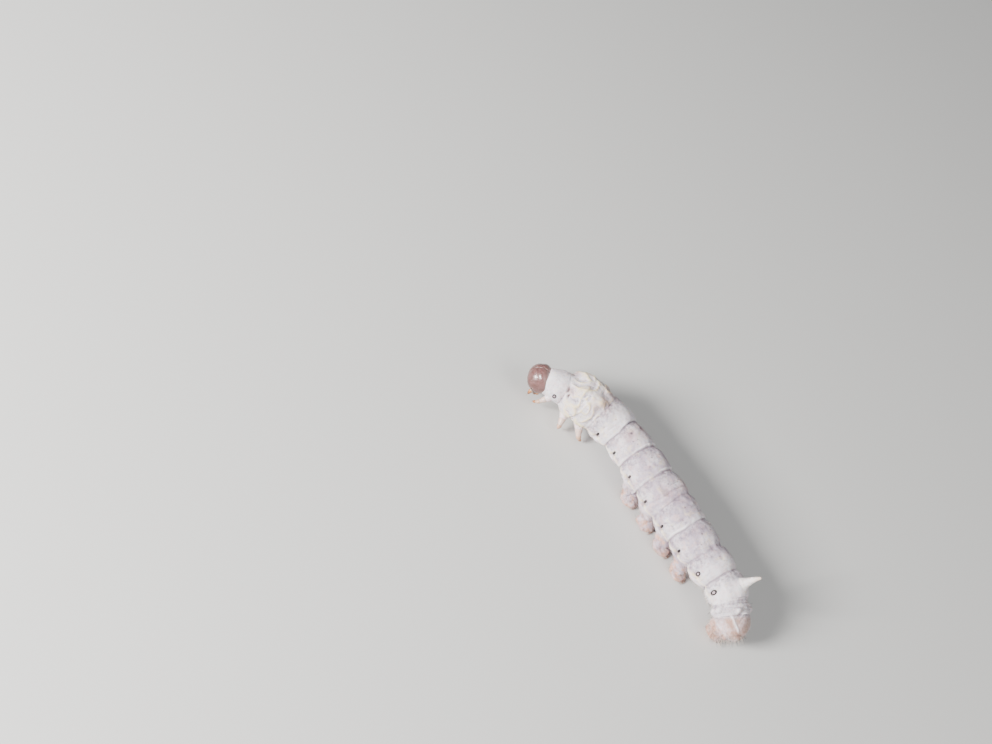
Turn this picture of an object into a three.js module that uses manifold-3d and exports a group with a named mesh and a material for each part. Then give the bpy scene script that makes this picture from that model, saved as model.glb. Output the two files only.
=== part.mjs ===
// Silkworm: a larva of the domestic silk moth in its last stage, life-size, lying stretched out.
// It stands on eight prolegs and two anal claspers. The thorax is lifted a little and turned to the left.
// Millimetres. +X is towards the head, +Y is the animal's left, +Z is up, and the floor is z = 0.
import * as THREE from "three";
import { mergeVertices } from "three/addons/utils/BufferGeometryUtils.js";
import Module from "manifold-3d";

const wasm = await Module();
wasm.setup();

// Driving dimensions
const GAP = 0.3; // left between neighbouring pieces
const SIDES = 28; // facets round the body
const BODY_HEIGHT = 5.0; // from the floor to the body's centreline at the prolegs
const CENTRE_X = 1.138; // middle of the whole animal's box, measured in the body's own frame
const CENTRE_Y = 3.287;
const DEG = Math.PI / 180;

// Body segments from front to back, with their lengths
const SEGMENTS = [
  { name: "thorax_1", length: 3.0 },
  { name: "thorax_2", length: 3.5 },
  { name: "thorax_3", length: 3.8 },
  { name: "abdomen_1", length: 5.0 },
  { name: "abdomen_2", length: 5.0 },
  { name: "abdomen_3", length: 5.0 },
  { name: "abdomen_4", length: 4.9 },
  { name: "abdomen_5", length: 4.9 },
  { name: "abdomen_6", length: 4.9 },
  { name: "abdomen_7", length: 4.7 },
  { name: "abdomen_8", length: 4.2 },
  { name: "abdomen_9", length: 2.0 },
  { name: "anal_segment", length: 4.2 },
];
let reach = 0;
for (const segment of SEGMENTS) {
  segment.start = reach;
  reach += segment.length;
  segment.end = reach;
  segment.middle = (segment.start + segment.end) / 2;
}
const BODY_LENGTH = reach;
const segmentCalled = (name) => SEGMENTS.find((segment) => segment.name === name);

// How far the skin stands from the centreline at each fold between segments: above, to the side and below
const ABOVE = [2.45, 3.0, 4.35, 3.8, 3.5, 3.6, 3.85, 3.85, 3.75, 3.6, 3.45, 3.2, 2.8, 0.35];
const BESIDE = [2.5, 3.1, 4.2, 3.9, 3.5, 3.6, 3.8, 3.85, 3.75, 3.6, 3.45, 3.3, 3.15, 0.5];
const BELOW = [2.3, 3.1, 3.9, 3.8, 3.45, 3.4, 3.45, 3.5, 3.45, 3.4, 3.2, 2.9, 2.3, 0.35];
const FOLD_DEPTH = [0.0, 0.4, 0.16, 0.12, 0.17, 0.17, 0.17, 0.17, 0.17, 0.17, 0.17, 0.17, 0.12, 0.0];
const FOLD_WIDTH = 0.75;
const SIDE_RIDGE = { angle: 112 * DEG, spread: 15 * DEG, height: 0.16 };

// Turns of the centreline, each spread evenly over a stretch that is measured back from the neck
const LEFT_TURN = { angle: 39 * DEG, from: 2.4, to: 21.0 };
const LIFT = { angle: 3 * DEG, from: 11.0, to: 17.5 };
const NOD = { angle: -13 * DEG, from: 0.0, to: 6.0 };
const TAIL_TURN = { angle: 19 * DEG, from: 43.0, to: 50.0 };
const TAIL_DROP = { angle: 24 * DEG, from: 45.0, to: 53.0 };
const FRONT_ROLL = { angle: 5 * DEG, from: 0.0, to: 14.0 };
const TAIL_ROLL = { angle: 16 * DEG, from: 38.0, to: 46.0 };

const blendTo = (value, low, high) => {
  const t = THREE.MathUtils.clamp((value - low) / (high - low), 0, 1);
  return t * t * (3 - 2 * t);
};

// A smooth curve through values that are given at the folds
function alongBody(values, s) {
  let i = SEGMENTS.findIndex((segment) => s < segment.end);
  if (i < 0) i = SEGMENTS.length - 1;
  const { start, length } = SEGMENTS[i];
  const t = THREE.MathUtils.clamp((s - start) / length, 0, 1);
  const slopeAt = (k) => {
    if (k === 0 || k === SEGMENTS.length) return 0;
    return (values[k + 1] - values[k - 1]) / (SEGMENTS[k].end - SEGMENTS[k - 1].start);
  };
  const t2 = t * t;
  const t3 = t2 * t;
  return (
    (2 * t3 - 3 * t2 + 1) * values[i] +
    (t3 - 2 * t2 + t) * length * slopeAt(i) +
    (3 * t2 - 2 * t3) * values[i + 1] +
    (t3 - t2) * length * slopeAt(i + 1)
  );
}

// The body's frame at s, which runs from the neck at 0 to the tail's tip at BODY_LENGTH
const STEP = 0.1;
const anchorAt = segmentCalled("abdomen_4").middle;
const turned = (turn, s) => turn.angle * (1 - blendTo(s, turn.from, turn.to));
function directionAt(s) {
  const heading = turned(LEFT_TURN, s) - TAIL_TURN.angle * blendTo(s, TAIL_TURN.from, TAIL_TURN.to);
  const pitch = turned(LIFT, s) + turned(NOD, s) + TAIL_DROP.angle * blendTo(s, TAIL_DROP.from, TAIL_DROP.to);
  return new THREE.Vector3(
    Math.cos(pitch) * Math.cos(heading),
    Math.cos(pitch) * Math.sin(heading),
    Math.sin(pitch),
  );
}
function walk(from, to) {
  const place = new THREE.Vector3();
  const steps = Math.ceil(Math.abs(to - from) / STEP);
  const stride = steps ? (to - from) / steps : 0;
  for (let i = 0; i < steps; i++) place.addScaledVector(directionAt(from + (i + 0.5) * stride), -stride);
  return place;
}
const framesMade = new Map();
function frameAt(s) {
  const key = s.toFixed(4);
  if (!framesMade.has(key)) framesMade.set(key, makeFrame(s));
  return framesMade.get(key);
}
function makeFrame(s) {
  const place = walk(anchorAt, s).add(new THREE.Vector3(-CENTRE_X, -CENTRE_Y, BODY_HEIGHT));
  const ahead = directionAt(s);
  const left = new THREE.Vector3(0, 0, 1).cross(ahead).normalize();
  const up = ahead.clone().cross(left);
  const roll = turned(FRONT_ROLL, s) + TAIL_ROLL.angle * blendTo(s, TAIL_ROLL.from, TAIL_ROLL.to);
  left.applyAxisAngle(ahead, roll);
  up.applyAxisAngle(ahead, roll);
  return { place, ahead, left, up };
}

// The skin at s and at an angle that runs from the back, 0, to the left side, a quarter turn
function skinPoint(s, angle, share = 1, extra = 0) {
  const { place, left, up } = frameAt(s);
  const nearest = SEGMENTS.reduce(
    (best, segment, i) => (Math.abs(segment.start - s) < Math.abs(best.at - s) ? { at: segment.start, i } : best),
    { at: BODY_LENGTH, i: SEGMENTS.length },
  );
  const pinch = FOLD_DEPTH[nearest.i] * Math.exp(-(((s - nearest.at) / FOLD_WIDTH) ** 2));
  const upward = Math.cos(angle) > 0 ? ABOVE : BELOW;
  const offRidge = (Math.acos(Math.cos(angle)) - SIDE_RIDGE.angle) / SIDE_RIDGE.spread;
  const ridge = SIDE_RIDGE.height * Math.exp(-offRidge * offRidge) * blendTo(s, 3, 8) * (1 - blendTo(s, 40, 50));
  const grown = extra + ridge - pinch;
  return place
    .clone()
    .addScaledVector(left, share * (alongBody(BESIDE, s) + grown) * Math.sin(angle))
    .addScaledVector(up, share * (alongBody(upward, s) + grown) * Math.cos(angle));
}

// Three.js geometry with merged vertices, as a solid, and back
function solidFrom(geometry) {
  const bare = geometry.index ? geometry.clone() : geometry;
  bare.deleteAttribute("normal");
  bare.deleteAttribute("uv");
  const merged = mergeVertices(bare, 1e-4);
  const vertProperties = merged.attributes.position.array;
  const triVerts = new Uint32Array(merged.index.array);
  const made = new wasm.Manifold(new wasm.Mesh({ numProp: 3, vertProperties, triVerts }));
  if (made.volume() > 0) return made;
  for (let i = 0; i < triVerts.length; i += 3) [triVerts[i], triVerts[i + 1]] = [triVerts[i + 1], triVerts[i]];
  return new wasm.Manifold(new wasm.Mesh({ numProp: 3, vertProperties, triVerts }));
}
function geometryFrom(solid) {
  const largest = solid.decompose().reduce((a, b) => (a.volume() > b.volume() ? a : b));
  const { vertProperties, triVerts } = largest.getMesh();
  const geometry = new THREE.BufferGeometry();
  geometry.setAttribute("position", new THREE.BufferAttribute(vertProperties, 3));
  geometry.setIndex(new THREE.BufferAttribute(triVerts, 1));
  return geometry;
}

// A closed cylinder whose rings are laid by place(t, angle, share), t from 0 to 1
function rolled(sides, rings, place) {
  const geometry = new THREE.CylinderGeometry(1, 1, 1, sides, rings);
  const position = geometry.attributes.position;
  for (let i = 0; i < position.count; i++) {
    const t = 0.5 - position.getY(i);
    const share = Math.hypot(position.getX(i), position.getZ(i));
    const angle = Math.atan2(position.getX(i), position.getZ(i));
    const point = place(Math.round(t * rings) / rings, angle, Math.round(share));
    position.setXYZ(i, point.x, point.y, point.z);
  }
  return solidFrom(geometry);
}

// A round tube along a curve, with its radius given at even stations; flat is its thickness over its width
function tube(points, radii, sides, rings, flat = 1) {
  const curve = new THREE.CatmullRomCurve3(points);
  const frames = curve.computeFrenetFrames(rings);
  const radiusAt = (t) => {
    const at = t * (radii.length - 1);
    const i = Math.min(Math.floor(at), radii.length - 2);
    return THREE.MathUtils.lerp(radii[i], radii[i + 1], at - i);
  };
  return rolled(sides, rings, (t, angle, share) => {
    const i = Math.round(t * rings);
    return curve
      .getPointAt(t)
      .addScaledVector(frames.normals[i], share * radiusAt(t) * Math.cos(angle))
      .addScaledVector(frames.binormals[i], share * radiusAt(t) * flat * Math.sin(angle));
  });
}

// An egg shape: radii along three directions, turned into a frame
function egg(centre, axes, radii, sides, rings) {
  const geometry = new THREE.SphereGeometry(1, sides, rings);
  const basis = new THREE.Matrix4().makeBasis(...axes);
  geometry.applyMatrix4(new THREE.Matrix4().makeScale(...radii));
  geometry.applyMatrix4(basis.setPosition(centre));
  return solidFrom(geometry);
}

const segmentRings = (segment) => Math.max(5, Math.round(segment.length * 1.5));
function segmentSolid(segment, grown = 0) {
  const first = segment.start + GAP / 2 - grown;
  const last = segment.end - GAP / 2 + grown;
  return rolled(SIDES, segmentRings(segment), (t, angle, share) => {
    const s = Math.min(THREE.MathUtils.lerp(first, last, t), BODY_LENGTH);
    return skinPoint(s, angle, share, grown);
  });
}
// The last segment closes in a round end, whose half-widths and rounded length these are
const TAIL = { round: 3.4, beside: 2.95, above: 2.6, below: 2.0 };
function tailSolid(segment, grown = 0) {
  const rings = 9;
  const roundFrom = BODY_LENGTH - TAIL.round;
  const first = segment.start + GAP / 2 - grown;
  return rolled(SIDES, rings, (t, angle, share) => {
    const s = THREE.MathUtils.lerp(first, BODY_LENGTH, Math.sin((t * Math.PI) / 2));
    const closing = Math.cos(Math.asin(THREE.MathUtils.clamp((s - roundFrom) / TAIL.round, 0, 0.995)));
    return tailPoint(s, angle, share * closing, grown);
  });
}
function tailPoint(s, angle, share, extra) {
  const { place, left, up } = frameAt(s);
  const { start } = segmentCalled("anal_segment");
  const pinch = FOLD_DEPTH[SEGMENTS.length - 1];
  const ease = blendTo(s, start, start + 2);
  const beside = THREE.MathUtils.lerp(alongBody(BESIDE, start) - pinch, TAIL.beside, ease);
  const above = THREE.MathUtils.lerp(alongBody(ABOVE, start) - pinch, TAIL.above, ease);
  const below = THREE.MathUtils.lerp(alongBody(BELOW, start) - pinch, TAIL.below, ease);
  return place
    .clone()
    .addScaledVector(left, share * (beside + extra) * Math.sin(angle))
    .addScaledVector(up, share * ((Math.cos(angle) > 0 ? above : below) + extra) * Math.cos(angle));
}

const pieces = new Map();
const solids = new Map();
const keepClearOf = new Map();
for (const segment of SEGMENTS) {
  const make = segment.name === "anal_segment" ? tailSolid : segmentSolid;
  solids.set(segment.name, make(segment));
  keepClearOf.set(segment.name, make(segment, GAP));
}

// Adds a piece that grows out of others, cut back to keep the gap from them
function grow(name, solid, ...roots) {
  let cut = solid;
  for (const root of roots) cut = cut.subtract(keepClearOf.get(root));
  solids.set(name, cut);
}

// Prolegs: soft stumps under abdomen 3 to 6, each with a flat sole on the floor
const PROLEG = {
  at: 0.6, // behind the middle of its segment
  rootAngle: 138 * DEG,
  rootDepth: 1.1,
  footOut: 2.9,
  footBack: 2.0,
  radii: [1.85, 1.85, 1.7, 1.5, 1.35, 1.26, 1.28, 1.42, 1.45, 1.15],
  sides: 14,
  lengthwise: 1.12,
};
function stump(root, foot, radii, sides, lengthwise) {
  const rings = radii.length - 1;
  return rolled(sides, rings, (t, angle, share) => {
    const centre = root.clone().lerp(foot, t);
    centre.x += share * radii[Math.round(t * rings)] * lengthwise * Math.cos(angle);
    centre.y += share * radii[Math.round(t * rings)] * Math.sin(angle);
    return centre;
  });
}
for (const number of [3, 4, 5, 6]) {
  const home = segmentCalled(`abdomen_${number}`);
  for (const [side, sign] of [["left", 1], ["right", -1]]) {
    const at = home.middle + PROLEG.at;
    const root = skinPoint(at, sign * PROLEG.rootAngle, 1, -PROLEG.rootDepth);
    const { place, left, ahead } = frameAt(at);
    const foot = place.clone().addScaledVector(left, sign * PROLEG.footOut);
    foot.addScaledVector(ahead, -PROLEG.footBack).setZ(0);
    const solid = stump(root, foot, PROLEG.radii, PROLEG.sides, PROLEG.lengthwise);
    grow(`proleg_${number}_${side}`, solid, home.name, `abdomen_${number + 1}`);
  }
}

// Anal claspers: the last pair, larger, leaning back under the tail
const CLASPER = {
  at: 1.6, // behind the front of its segment
  rootAngle: 118 * DEG,
  rootDepth: 1.0,
  footOut: 1.7,
  footBack: -0.4,
  radii: [1.7, 1.75, 1.65, 1.52, 1.42, 1.32, 1.38, 1.12],
  sides: 16,
  lengthwise: 1.2,
};
const tail = segmentCalled("anal_segment");
for (const [side, sign] of [["left", 1], ["right", -1]]) {
  const at = tail.start + CLASPER.at;
  const root = tailPoint(at, sign * CLASPER.rootAngle, 1, -CLASPER.rootDepth);
  const { place, left, ahead } = frameAt(at);
  const foot = place.clone().addScaledVector(left, sign * CLASPER.footOut);
  foot.addScaledVector(ahead, -CLASPER.footBack).setZ(0);
  const solid = stump(root, foot, CLASPER.radii, CLASPER.sides, CLASPER.lengthwise);
  grow(`clasper_${side}`, solid, "anal_segment", "abdomen_9");
}

// The horn on the back of abdomen 8, bent back at its tip
const HORN = {
  behind: 0.35, // the middle of its segment
  length: 4.1,
  back: 0.5,
  radii: [1.5, 1.32, 0.98, 0.72, 0.55, 0.42, 0.3, 0.18],
};
const hornAt = segmentCalled("abdomen_8").middle + HORN.behind;
const hornFrame = frameAt(hornAt);
const hornRoot = skinPoint(hornAt, 0);
const hornPoint = (rise, back) =>
  hornRoot
    .clone()
    .addScaledVector(hornFrame.up, rise * HORN.length)
    .addScaledVector(hornFrame.ahead, -back * HORN.back);
const hornLine = [hornPoint(-0.22, 0), hornPoint(0.1, 0.02), hornPoint(0.55, 0.32), hornPoint(0.95, 1)];
grow("horn", tube(hornLine, HORN.radii, 14, 9), "abdomen_8");

// Jointed legs of the thorax: thick root, shin, foot and a hooked claw, held off the floor
const LEGS = [
  { home: "thorax_1", number: 1, behind: 0, out: 1.3, down: 1.6, ahead: 2.3, size: 0.85 },
  { home: "thorax_2", number: 2, behind: 0.5, out: 2.6, down: 2.0, ahead: -0.3, size: 0.95 },
  { home: "thorax_3", number: 3, behind: 0.2, out: 1.9, down: 1.8, ahead: -1.9, size: 1.05 },
];
const LEG = {
  rootAngle: 140 * DEG,
  rootDepth: 0.8,
  radii: [0.95, 0.85, 0.62, 0.56, 0.42, 0.44, 0.31, 0.27, 0.12],
};
for (const { home, number, behind, out, down, ahead: forward, size } of LEGS) {
  const at = segmentCalled(home).middle + behind;
  const next = number === 3 ? "abdomen_1" : `thorax_${number + 1}`;
  for (const [side, sign] of [["left", 1], ["right", -1]]) {
    const { left, up, ahead } = frameAt(at);
    const root = skinPoint(at, sign * LEG.rootAngle, 1, -LEG.rootDepth);
    const step = (o, d, f) =>
      root.clone().addScaledVector(left, sign * o).addScaledVector(up, -d).addScaledVector(ahead, f);
    const line = [
      root,
      step(out * 0.55, down * 0.5, forward * 0.35),
      step(out, down * 0.95, forward * 0.8),
      step(out * 0.85, down * 1.35, forward * 1.2),
    ];
    grow(`leg_${number}_${side}`, tube(line, LEG.radii.map((r) => r * size), 10, 9), home, next);
  }
}

// Head: a hard rounded capsule that hangs forward and down from the neck, its mouth below
const HEAD = { width: 2.42, height: 2.5, depth: 2.15, ahead: 1.45, below: 0.05, nod: 28 * DEG };
const neck = frameAt(0);
const headAxis = neck.ahead.clone().applyAxisAngle(neck.left, HEAD.nod);
const headUp = neck.up.clone().applyAxisAngle(neck.left, HEAD.nod);
const headLeft = neck.left.clone();
const headCentre = neck.place.clone().addScaledVector(neck.ahead, HEAD.ahead).addScaledVector(neck.up, -HEAD.below);
const headAxes = [headLeft, headAxis, headUp];
const onHead = (left, ahead, up) =>
  headCentre.clone().addScaledVector(headLeft, left).addScaledVector(headAxis, ahead).addScaledVector(headUp, up);
const capsule = (extra) =>
  egg(headCentre, headAxes, [HEAD.width + extra, HEAD.depth + extra, HEAD.height + extra], 26, 18);
const MUZZLE = { ahead: 0.75, up: -1.45, radii: [1.25, 1.15, 0.95] };
const muzzle = (extra) =>
  egg(onHead(0, MUZZLE.ahead, MUZZLE.up), headAxes, MUZZLE.radii.map((r) => r + extra), 16, 12);
let head = capsule(0).add(muzzle(0));
keepClearOf.set("head", capsule(GAP).add(muzzle(GAP)));

// Six simple eyes on each cheek, five in an arc and one apart
const EYES = { radius: 0.19, out: 0.72, ahead: 0.42, up: -0.4, arcHeight: 0.62, arcDepth: 0.37 };
const EYE_ARC = [-100, -52, -4, 44, 92];
const eyeSpots = EYE_ARC.map((turn) => [
  EYES.arcDepth * Math.cos(turn * DEG),
  EYES.arcHeight * Math.sin(turn * DEG),
]);
eyeSpots.push([0.06, 0]);
for (const sign of [1, -1]) {
  for (const [ahead, up] of eyeSpots) {
    const spot = new THREE.Vector3(
      sign * HEAD.width * EYES.out,
      HEAD.depth * EYES.ahead + ahead,
      HEAD.height * EYES.up + up,
    );
    const stretch = Math.hypot(spot.x / HEAD.width, spot.y / HEAD.depth, spot.z / HEAD.height);
    spot.divideScalar(stretch);
    const bead = egg(onHead(spot.x, spot.y, spot.z), headAxes, Array(3).fill(EYES.radius), 8, 6);
    head = head.add(bead);
  }
}
grow("head", head, "thorax_1");

// Feelers, jaws and the lower lip with its silk spout
const mouthPieces = [
  {
    name: "antenna",
    line: [[1.2, 1.2, -1.25], [1.42, 1.8, -1.65], [1.55, 2.2, -2.0]],
    radii: [0.42, 0.36, 0.3, 0.2],
  },
  {
    name: "mandible",
    line: [[0.55, 1.1, -1.9], [0.6, 1.4, -2.5], [0.42, 1.55, -2.95]],
    radii: [0.5, 0.52, 0.45, 0.2],
  },
];
for (const { name, line, radii } of mouthPieces) {
  for (const [side, sign] of [["left", 1], ["right", -1]]) {
    const points = line.map(([x, y, z]) => onHead(sign * x, y, z));
    grow(`${name}_${side}`, tube(points, radii, 10, 6), "head");
  }
}
const lip = tube([onHead(0, 0.3, -1.9), onHead(0, 0.35, -2.6), onHead(0, 0.62, -3.15)], [0.7, 0.62, 0.45, 0.2], 12, 6);
grow("lower_lip", lip, "head", "thorax_1");

// Colours, one material for each finish
const finish = (color, roughness) => new THREE.MeshStandardMaterial({ color, roughness, metalness: 0 });
const skin = finish(0xe6dfdd, 0.5);
const capsuleBrown = finish(0x8a5a48, 0.3);
const legAmber = finish(0xb48a66, 0.4);
const finishOf = (name) => {
  if (name === "head" || /^(antenna|mandible|lower)/.test(name)) return capsuleBrown;
  return name.startsWith("leg_") ? legAmber : skin;
};

const silkworm = new THREE.Group();
for (const [name, solid] of solids) {
  const mesh = new THREE.Mesh(geometryFrom(solid), finishOf(name));
  mesh.name = name;
  silkworm.add(mesh);
}

export default silkworm;
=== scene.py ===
# Silkworm: the grown larva of the domestic silk moth, life-size, stretched out on its prolegs.
# Sizes in the dictionaries are millimetres and degrees. Meshes become metres when they are made.
import math
import bpy
import numpy as np
from mathutils import Matrix, Vector


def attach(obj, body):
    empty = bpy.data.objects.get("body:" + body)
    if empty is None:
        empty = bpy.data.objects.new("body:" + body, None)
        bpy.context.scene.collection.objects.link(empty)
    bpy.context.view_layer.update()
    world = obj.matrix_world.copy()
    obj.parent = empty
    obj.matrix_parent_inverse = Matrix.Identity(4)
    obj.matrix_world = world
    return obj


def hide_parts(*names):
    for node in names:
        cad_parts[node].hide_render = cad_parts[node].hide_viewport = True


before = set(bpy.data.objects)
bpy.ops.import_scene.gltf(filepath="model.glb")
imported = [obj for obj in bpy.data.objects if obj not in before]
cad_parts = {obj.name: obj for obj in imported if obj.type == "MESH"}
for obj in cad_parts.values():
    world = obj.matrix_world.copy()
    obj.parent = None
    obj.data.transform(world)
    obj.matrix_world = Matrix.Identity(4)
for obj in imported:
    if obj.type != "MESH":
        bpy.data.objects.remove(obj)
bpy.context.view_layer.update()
mm = 0.001
draw = np.random.default_rng(11)
bothSides = ((1, "left"), (-1, "right"))

camera = {
    "lens": 50, "sensor": 36, "imageSize": (992, 744), "clip": (0.005, 20),
    "aside": 13.2, "height": 46.4, "roll": 46.7,
    "aim": (-1.14, -3.29, 5.0),  # the middle of the body
    "aimPixel": (662.3, 493.1), "pixelsPerMm": 5.92,
}


def makeCamera(c):
    data = bpy.data.cameras.new("camera")
    data.lens, data.sensor_width = c["lens"], c["sensor"]
    data.clip_start, data.clip_end = c["clip"]
    aside, height, roll = (math.radians(c[k]) for k in ("aside", "height", "roll"))
    level = math.cos(height)
    back = Vector((-math.sin(aside) * level, math.cos(aside) * level, math.sin(height)))
    across = (-back).cross(Vector((0, 0, 1))).normalized()
    rise = across.cross(-back)
    right = across * math.cos(roll) + rise * math.sin(roll)
    up = rise * math.cos(roll) - across * math.sin(roll)
    focal = c["lens"] / c["sensor"] * c["imageSize"][0]
    offX, offY = ((c["aimPixel"][k] - c["imageSize"][k] / 2) / focal for k in (0, 1))
    toAim = Vector((offX, -offY, -1)).normalized()
    turn = toAim.rotation_difference(Vector((0, 0, -1))).to_matrix()
    axes = Matrix((right, up, back)).transposed() @ turn
    distance = focal / c["pixelsPerMm"]
    made = bpy.data.objects.new("camera", data)
    made.matrix_world = Matrix.Translation((Vector(c["aim"]) + back * distance) * mm) @ axes.to_4x4()
    bpy.context.collection.objects.link(made)
    bpy.context.scene.camera = made


makeCamera(camera)
print("camera made")


# Shader maths: a Wire is a socket that can be used in sums

class Wire:
    def __init__(self, tree, socket=None):
        self.tree, self.socket = tree, socket

    def node(self, kind, settings=None, sockets=None, output=0):
        made = self.tree.nodes.new(kind)
        for name, value in (settings or {}).items():
            setattr(made, name, value)
        for name, value in (sockets or {}).items():
            if isinstance(value, Wire):
                self.tree.links.new(value.socket, made.inputs[name])
            else:
                made.inputs[name].default_value = value
        return Wire(self.tree, made.outputs[output])

    def math(self, operation, *values):
        return self.node("ShaderNodeMath", {"operation": operation}, dict(enumerate(values)))

    def __add__(self, other): return self.math("ADD", self, other)
    def __radd__(self, other): return self.math("ADD", other, self)
    def __sub__(self, other): return self.math("SUBTRACT", self, other)
    def __rsub__(self, other): return self.math("SUBTRACT", other, self)
    def __mul__(self, other): return self.math("MULTIPLY", self, other)
    def __rmul__(self, other): return self.math("MULTIPLY", other, self)

    def attributes(self, *names):  # the marks that a mesh carries
        return [self.node("ShaderNodeAttribute", {"attribute_name": name}, output=2) for name in names]

    def place(self):  # position on the object, in millimetres
        where = self.node("ShaderNodeTexCoord", output=3)
        return self.node("ShaderNodeVectorMath", {"operation": "SCALE"}, {0: where, "Scale": 1 / mm})

    def noise(self, scale, detail=3.0, rough=0.5):  # on a place
        sockets = {"Vector": self, "Scale": scale, "Detail": detail, "Roughness": rough}
        return self.node("ShaderNodeTexNoise", None, sockets)

    def cells(self, scale, feature="F1"):
        return self.node("ShaderNodeTexVoronoi", {"feature": feature}, {"Vector": self, "Scale": scale})

    def pores(self, scale, width):  # 0 along a fine net of lines, 1 between them
        return self.cells(scale, "DISTANCE_TO_EDGE").ease(0.0, width)

    def ease(self, low, high):
        settings = {"interpolation_type": "SMOOTHSTEP"}
        return self.node("ShaderNodeMapRange", settings, {"Value": self, "From Min": low, "From Max": high})

    def tint(self, under, over):  # mixes two colours by this value
        under, over = (w if isinstance(w, Wire) else (*w, 1) for w in (under, over))
        return self.node("ShaderNodeMix", {"data_type": "RGBA"}, {0: self, 6: under, 7: over}, output=2)

    def bump(self, distance, strength):  # this height as a normal
        sockets = {"Height": self, "Distance": distance * mm, "Strength": strength}
        return self.node("ShaderNodeBump", None, sockets)


def paint(*picked):  # red, green and blue from 0 to 255, as a painter picks them, to linear light
    shares = [c / 255 for c in picked]
    return tuple(c / 12.92 if c <= 0.04045 else ((c + 0.055) / 1.055) ** 2.4 for c in shares)


def layered(base, *layers):  # one colour over another, each with its mask
    for mask, tone in layers:
        base = mask.tint(base, tone)
    return base


def finish(name, build, constants=None):
    material = bpy.data.materials.new(name)
    material.use_nodes = True
    tree = material.node_tree
    shader = tree.nodes["Principled BSDF"]
    for key, value in (constants or {}).items():
        shader.inputs[key].default_value = value
    for key, wire in build(Wire(tree)).items():
        tree.links.new(wire.socket, shader.inputs[key])
    return material


def glow(weight, reach, *radius):  # light that spreads under the surface; reach in millimetres
    values = {"Subsurface Weight": weight, "Subsurface Scale": reach * mm}
    return {**values, "Subsurface Radius": radius} if radius else values


# Meshes from arrays

def meshPiece(name, points, faces, material, marks=None, patches=None):
    mesh = bpy.data.meshes.new(name)
    points = np.asarray(points, np.float32) * mm
    sizes = np.array([len(f) for f in faces], np.int32)
    corners = np.concatenate([np.asarray(f) for f in faces]) if isinstance(faces, list) else faces.ravel()
    starts = np.concatenate([[0], np.cumsum(sizes)[:-1]]).astype(np.int32)
    mesh.vertices.add(len(points))
    mesh.vertices.foreach_set("co", points.ravel())
    mesh.loops.add(len(corners))
    mesh.loops.foreach_set("vertex_index", corners.astype(np.int32))
    mesh.polygons.add(len(sizes))
    mesh.polygons.foreach_set("loop_start", starts)
    mesh.polygons.foreach_set("loop_total", sizes)
    mesh.update(calc_edges=True)
    mesh.polygons.foreach_set("use_smooth", np.ones(len(sizes), bool))
    for key, values in (marks or {}).items():
        data = mesh.attributes.new(key, "FLOAT", "POINT").data
        data.foreach_set("value", np.asarray(values, np.float32))
    if patches is not None:
        layer = mesh.uv_layers.new(name="OFBake")
        layer.data.foreach_set("uv", np.asarray(patches, np.float32)[corners].ravel())
    mesh.materials.append(material)
    made = bpy.data.objects.new(name, mesh)
    bpy.context.collection.objects.link(made)
    return made


class Heap:  # gathers many small closed forms into one mesh
    def __init__(self):
        self.points, self.faces, self.marks, self.count = [], [], {}, 0

    def add(self, points, faces, **marks):
        points = np.asarray(points, float)
        self.points.append(points)
        self.faces += [[i + self.count for i in face] for face in faces]
        for key, value in marks.items():
            self.marks.setdefault(key, []).append(np.broadcast_to(value, len(points)))
        self.count += len(points)

    def closed(self, form, **marks):  # a form whose faces still have to be turned outwards
        points, faces = form
        self.add(points, outward(points, faces), **marks)

    def make(self, name, material):
        marks = {key: np.concatenate(parts) for key, parts in self.marks.items()}
        return meshPiece(name, np.concatenate(self.points), self.faces, material, marks)


def dressed(piece, slotShade, *nodes):
    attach(piece, "root")
    if nodes:
        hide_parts(*nodes)
    return piece


def unit(v):
    v = np.asarray(v, float)
    return v / np.maximum(np.linalg.norm(v, axis=-1, keepdims=True), 1e-12)


def smooth(value, low, high):
    t = np.clip((value - low) / (high - low), 0, 1)
    return t * t * (3 - 2 * t)


def between(value, start, full, fade, end):  # rises over the first two, falls over the last two
    return smooth(value, start, full) * (1 - smooth(value, fade, end))


def near(value, at, width):
    return np.exp(-(((value - at) / width) ** 2))


def spread(values, count):  # a short list of sizes, spread evenly over a count
    return np.interp(np.linspace(0, 1, count), np.linspace(0, 1, len(values)), values)


def circle(count):
    return np.arange(count) / count * 2 * math.pi


def curveThrough(points, count):  # a smooth line through a few points
    points = np.asarray(points, float)
    ends = np.vstack([2 * points[0] - points[1], points, 2 * points[-1] - points[-2]])
    t = np.linspace(0, len(points) - 1, count)
    i = np.minimum(t.astype(int), len(points) - 2)
    f = (t - i)[:, None]
    a, b, c, d = ends[i], ends[i + 1], ends[i + 2], ends[i + 3]
    bend, twist = 2 * a - 5 * b + 4 * c - d, 3 * b - a - 3 * c + d
    return 0.5 * (2 * b + (c - a) * f + bend * f**2 + twist * f**3)


def closedGrid(points):  # rings of points closed round and capped at both ends
    rings, around = points.shape[:2]
    faces = []
    for k in range(rings - 1):
        for j in range(around):
            a, b = k * around + j, k * around + (j + 1) % around
            faces.append([a, b, b + around, a + around])
    faces.append(list(range(around))[::-1])
    faces.append([(rings - 1) * around + j for j in range(around)])
    return points.reshape(-1, 3), faces


def tube(line, radii, around, flat=1.0):
    line = np.asarray(line, float)
    ahead = unit(np.gradient(line, axis=0))
    side = np.cross(ahead[0], (0.3, 0.2, 0.93))  # any way that no line here runs along
    turn = circle(around)[:, None]
    rings = []
    for p, a, r in zip(line, ahead, radii):
        side = unit(side - a * np.dot(side, a))
        other = np.cross(a, side)
        rings.append(p + r * (np.cos(turn) * side + flat * np.sin(turn) * other))
    return closedGrid(np.array(rings))


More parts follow.
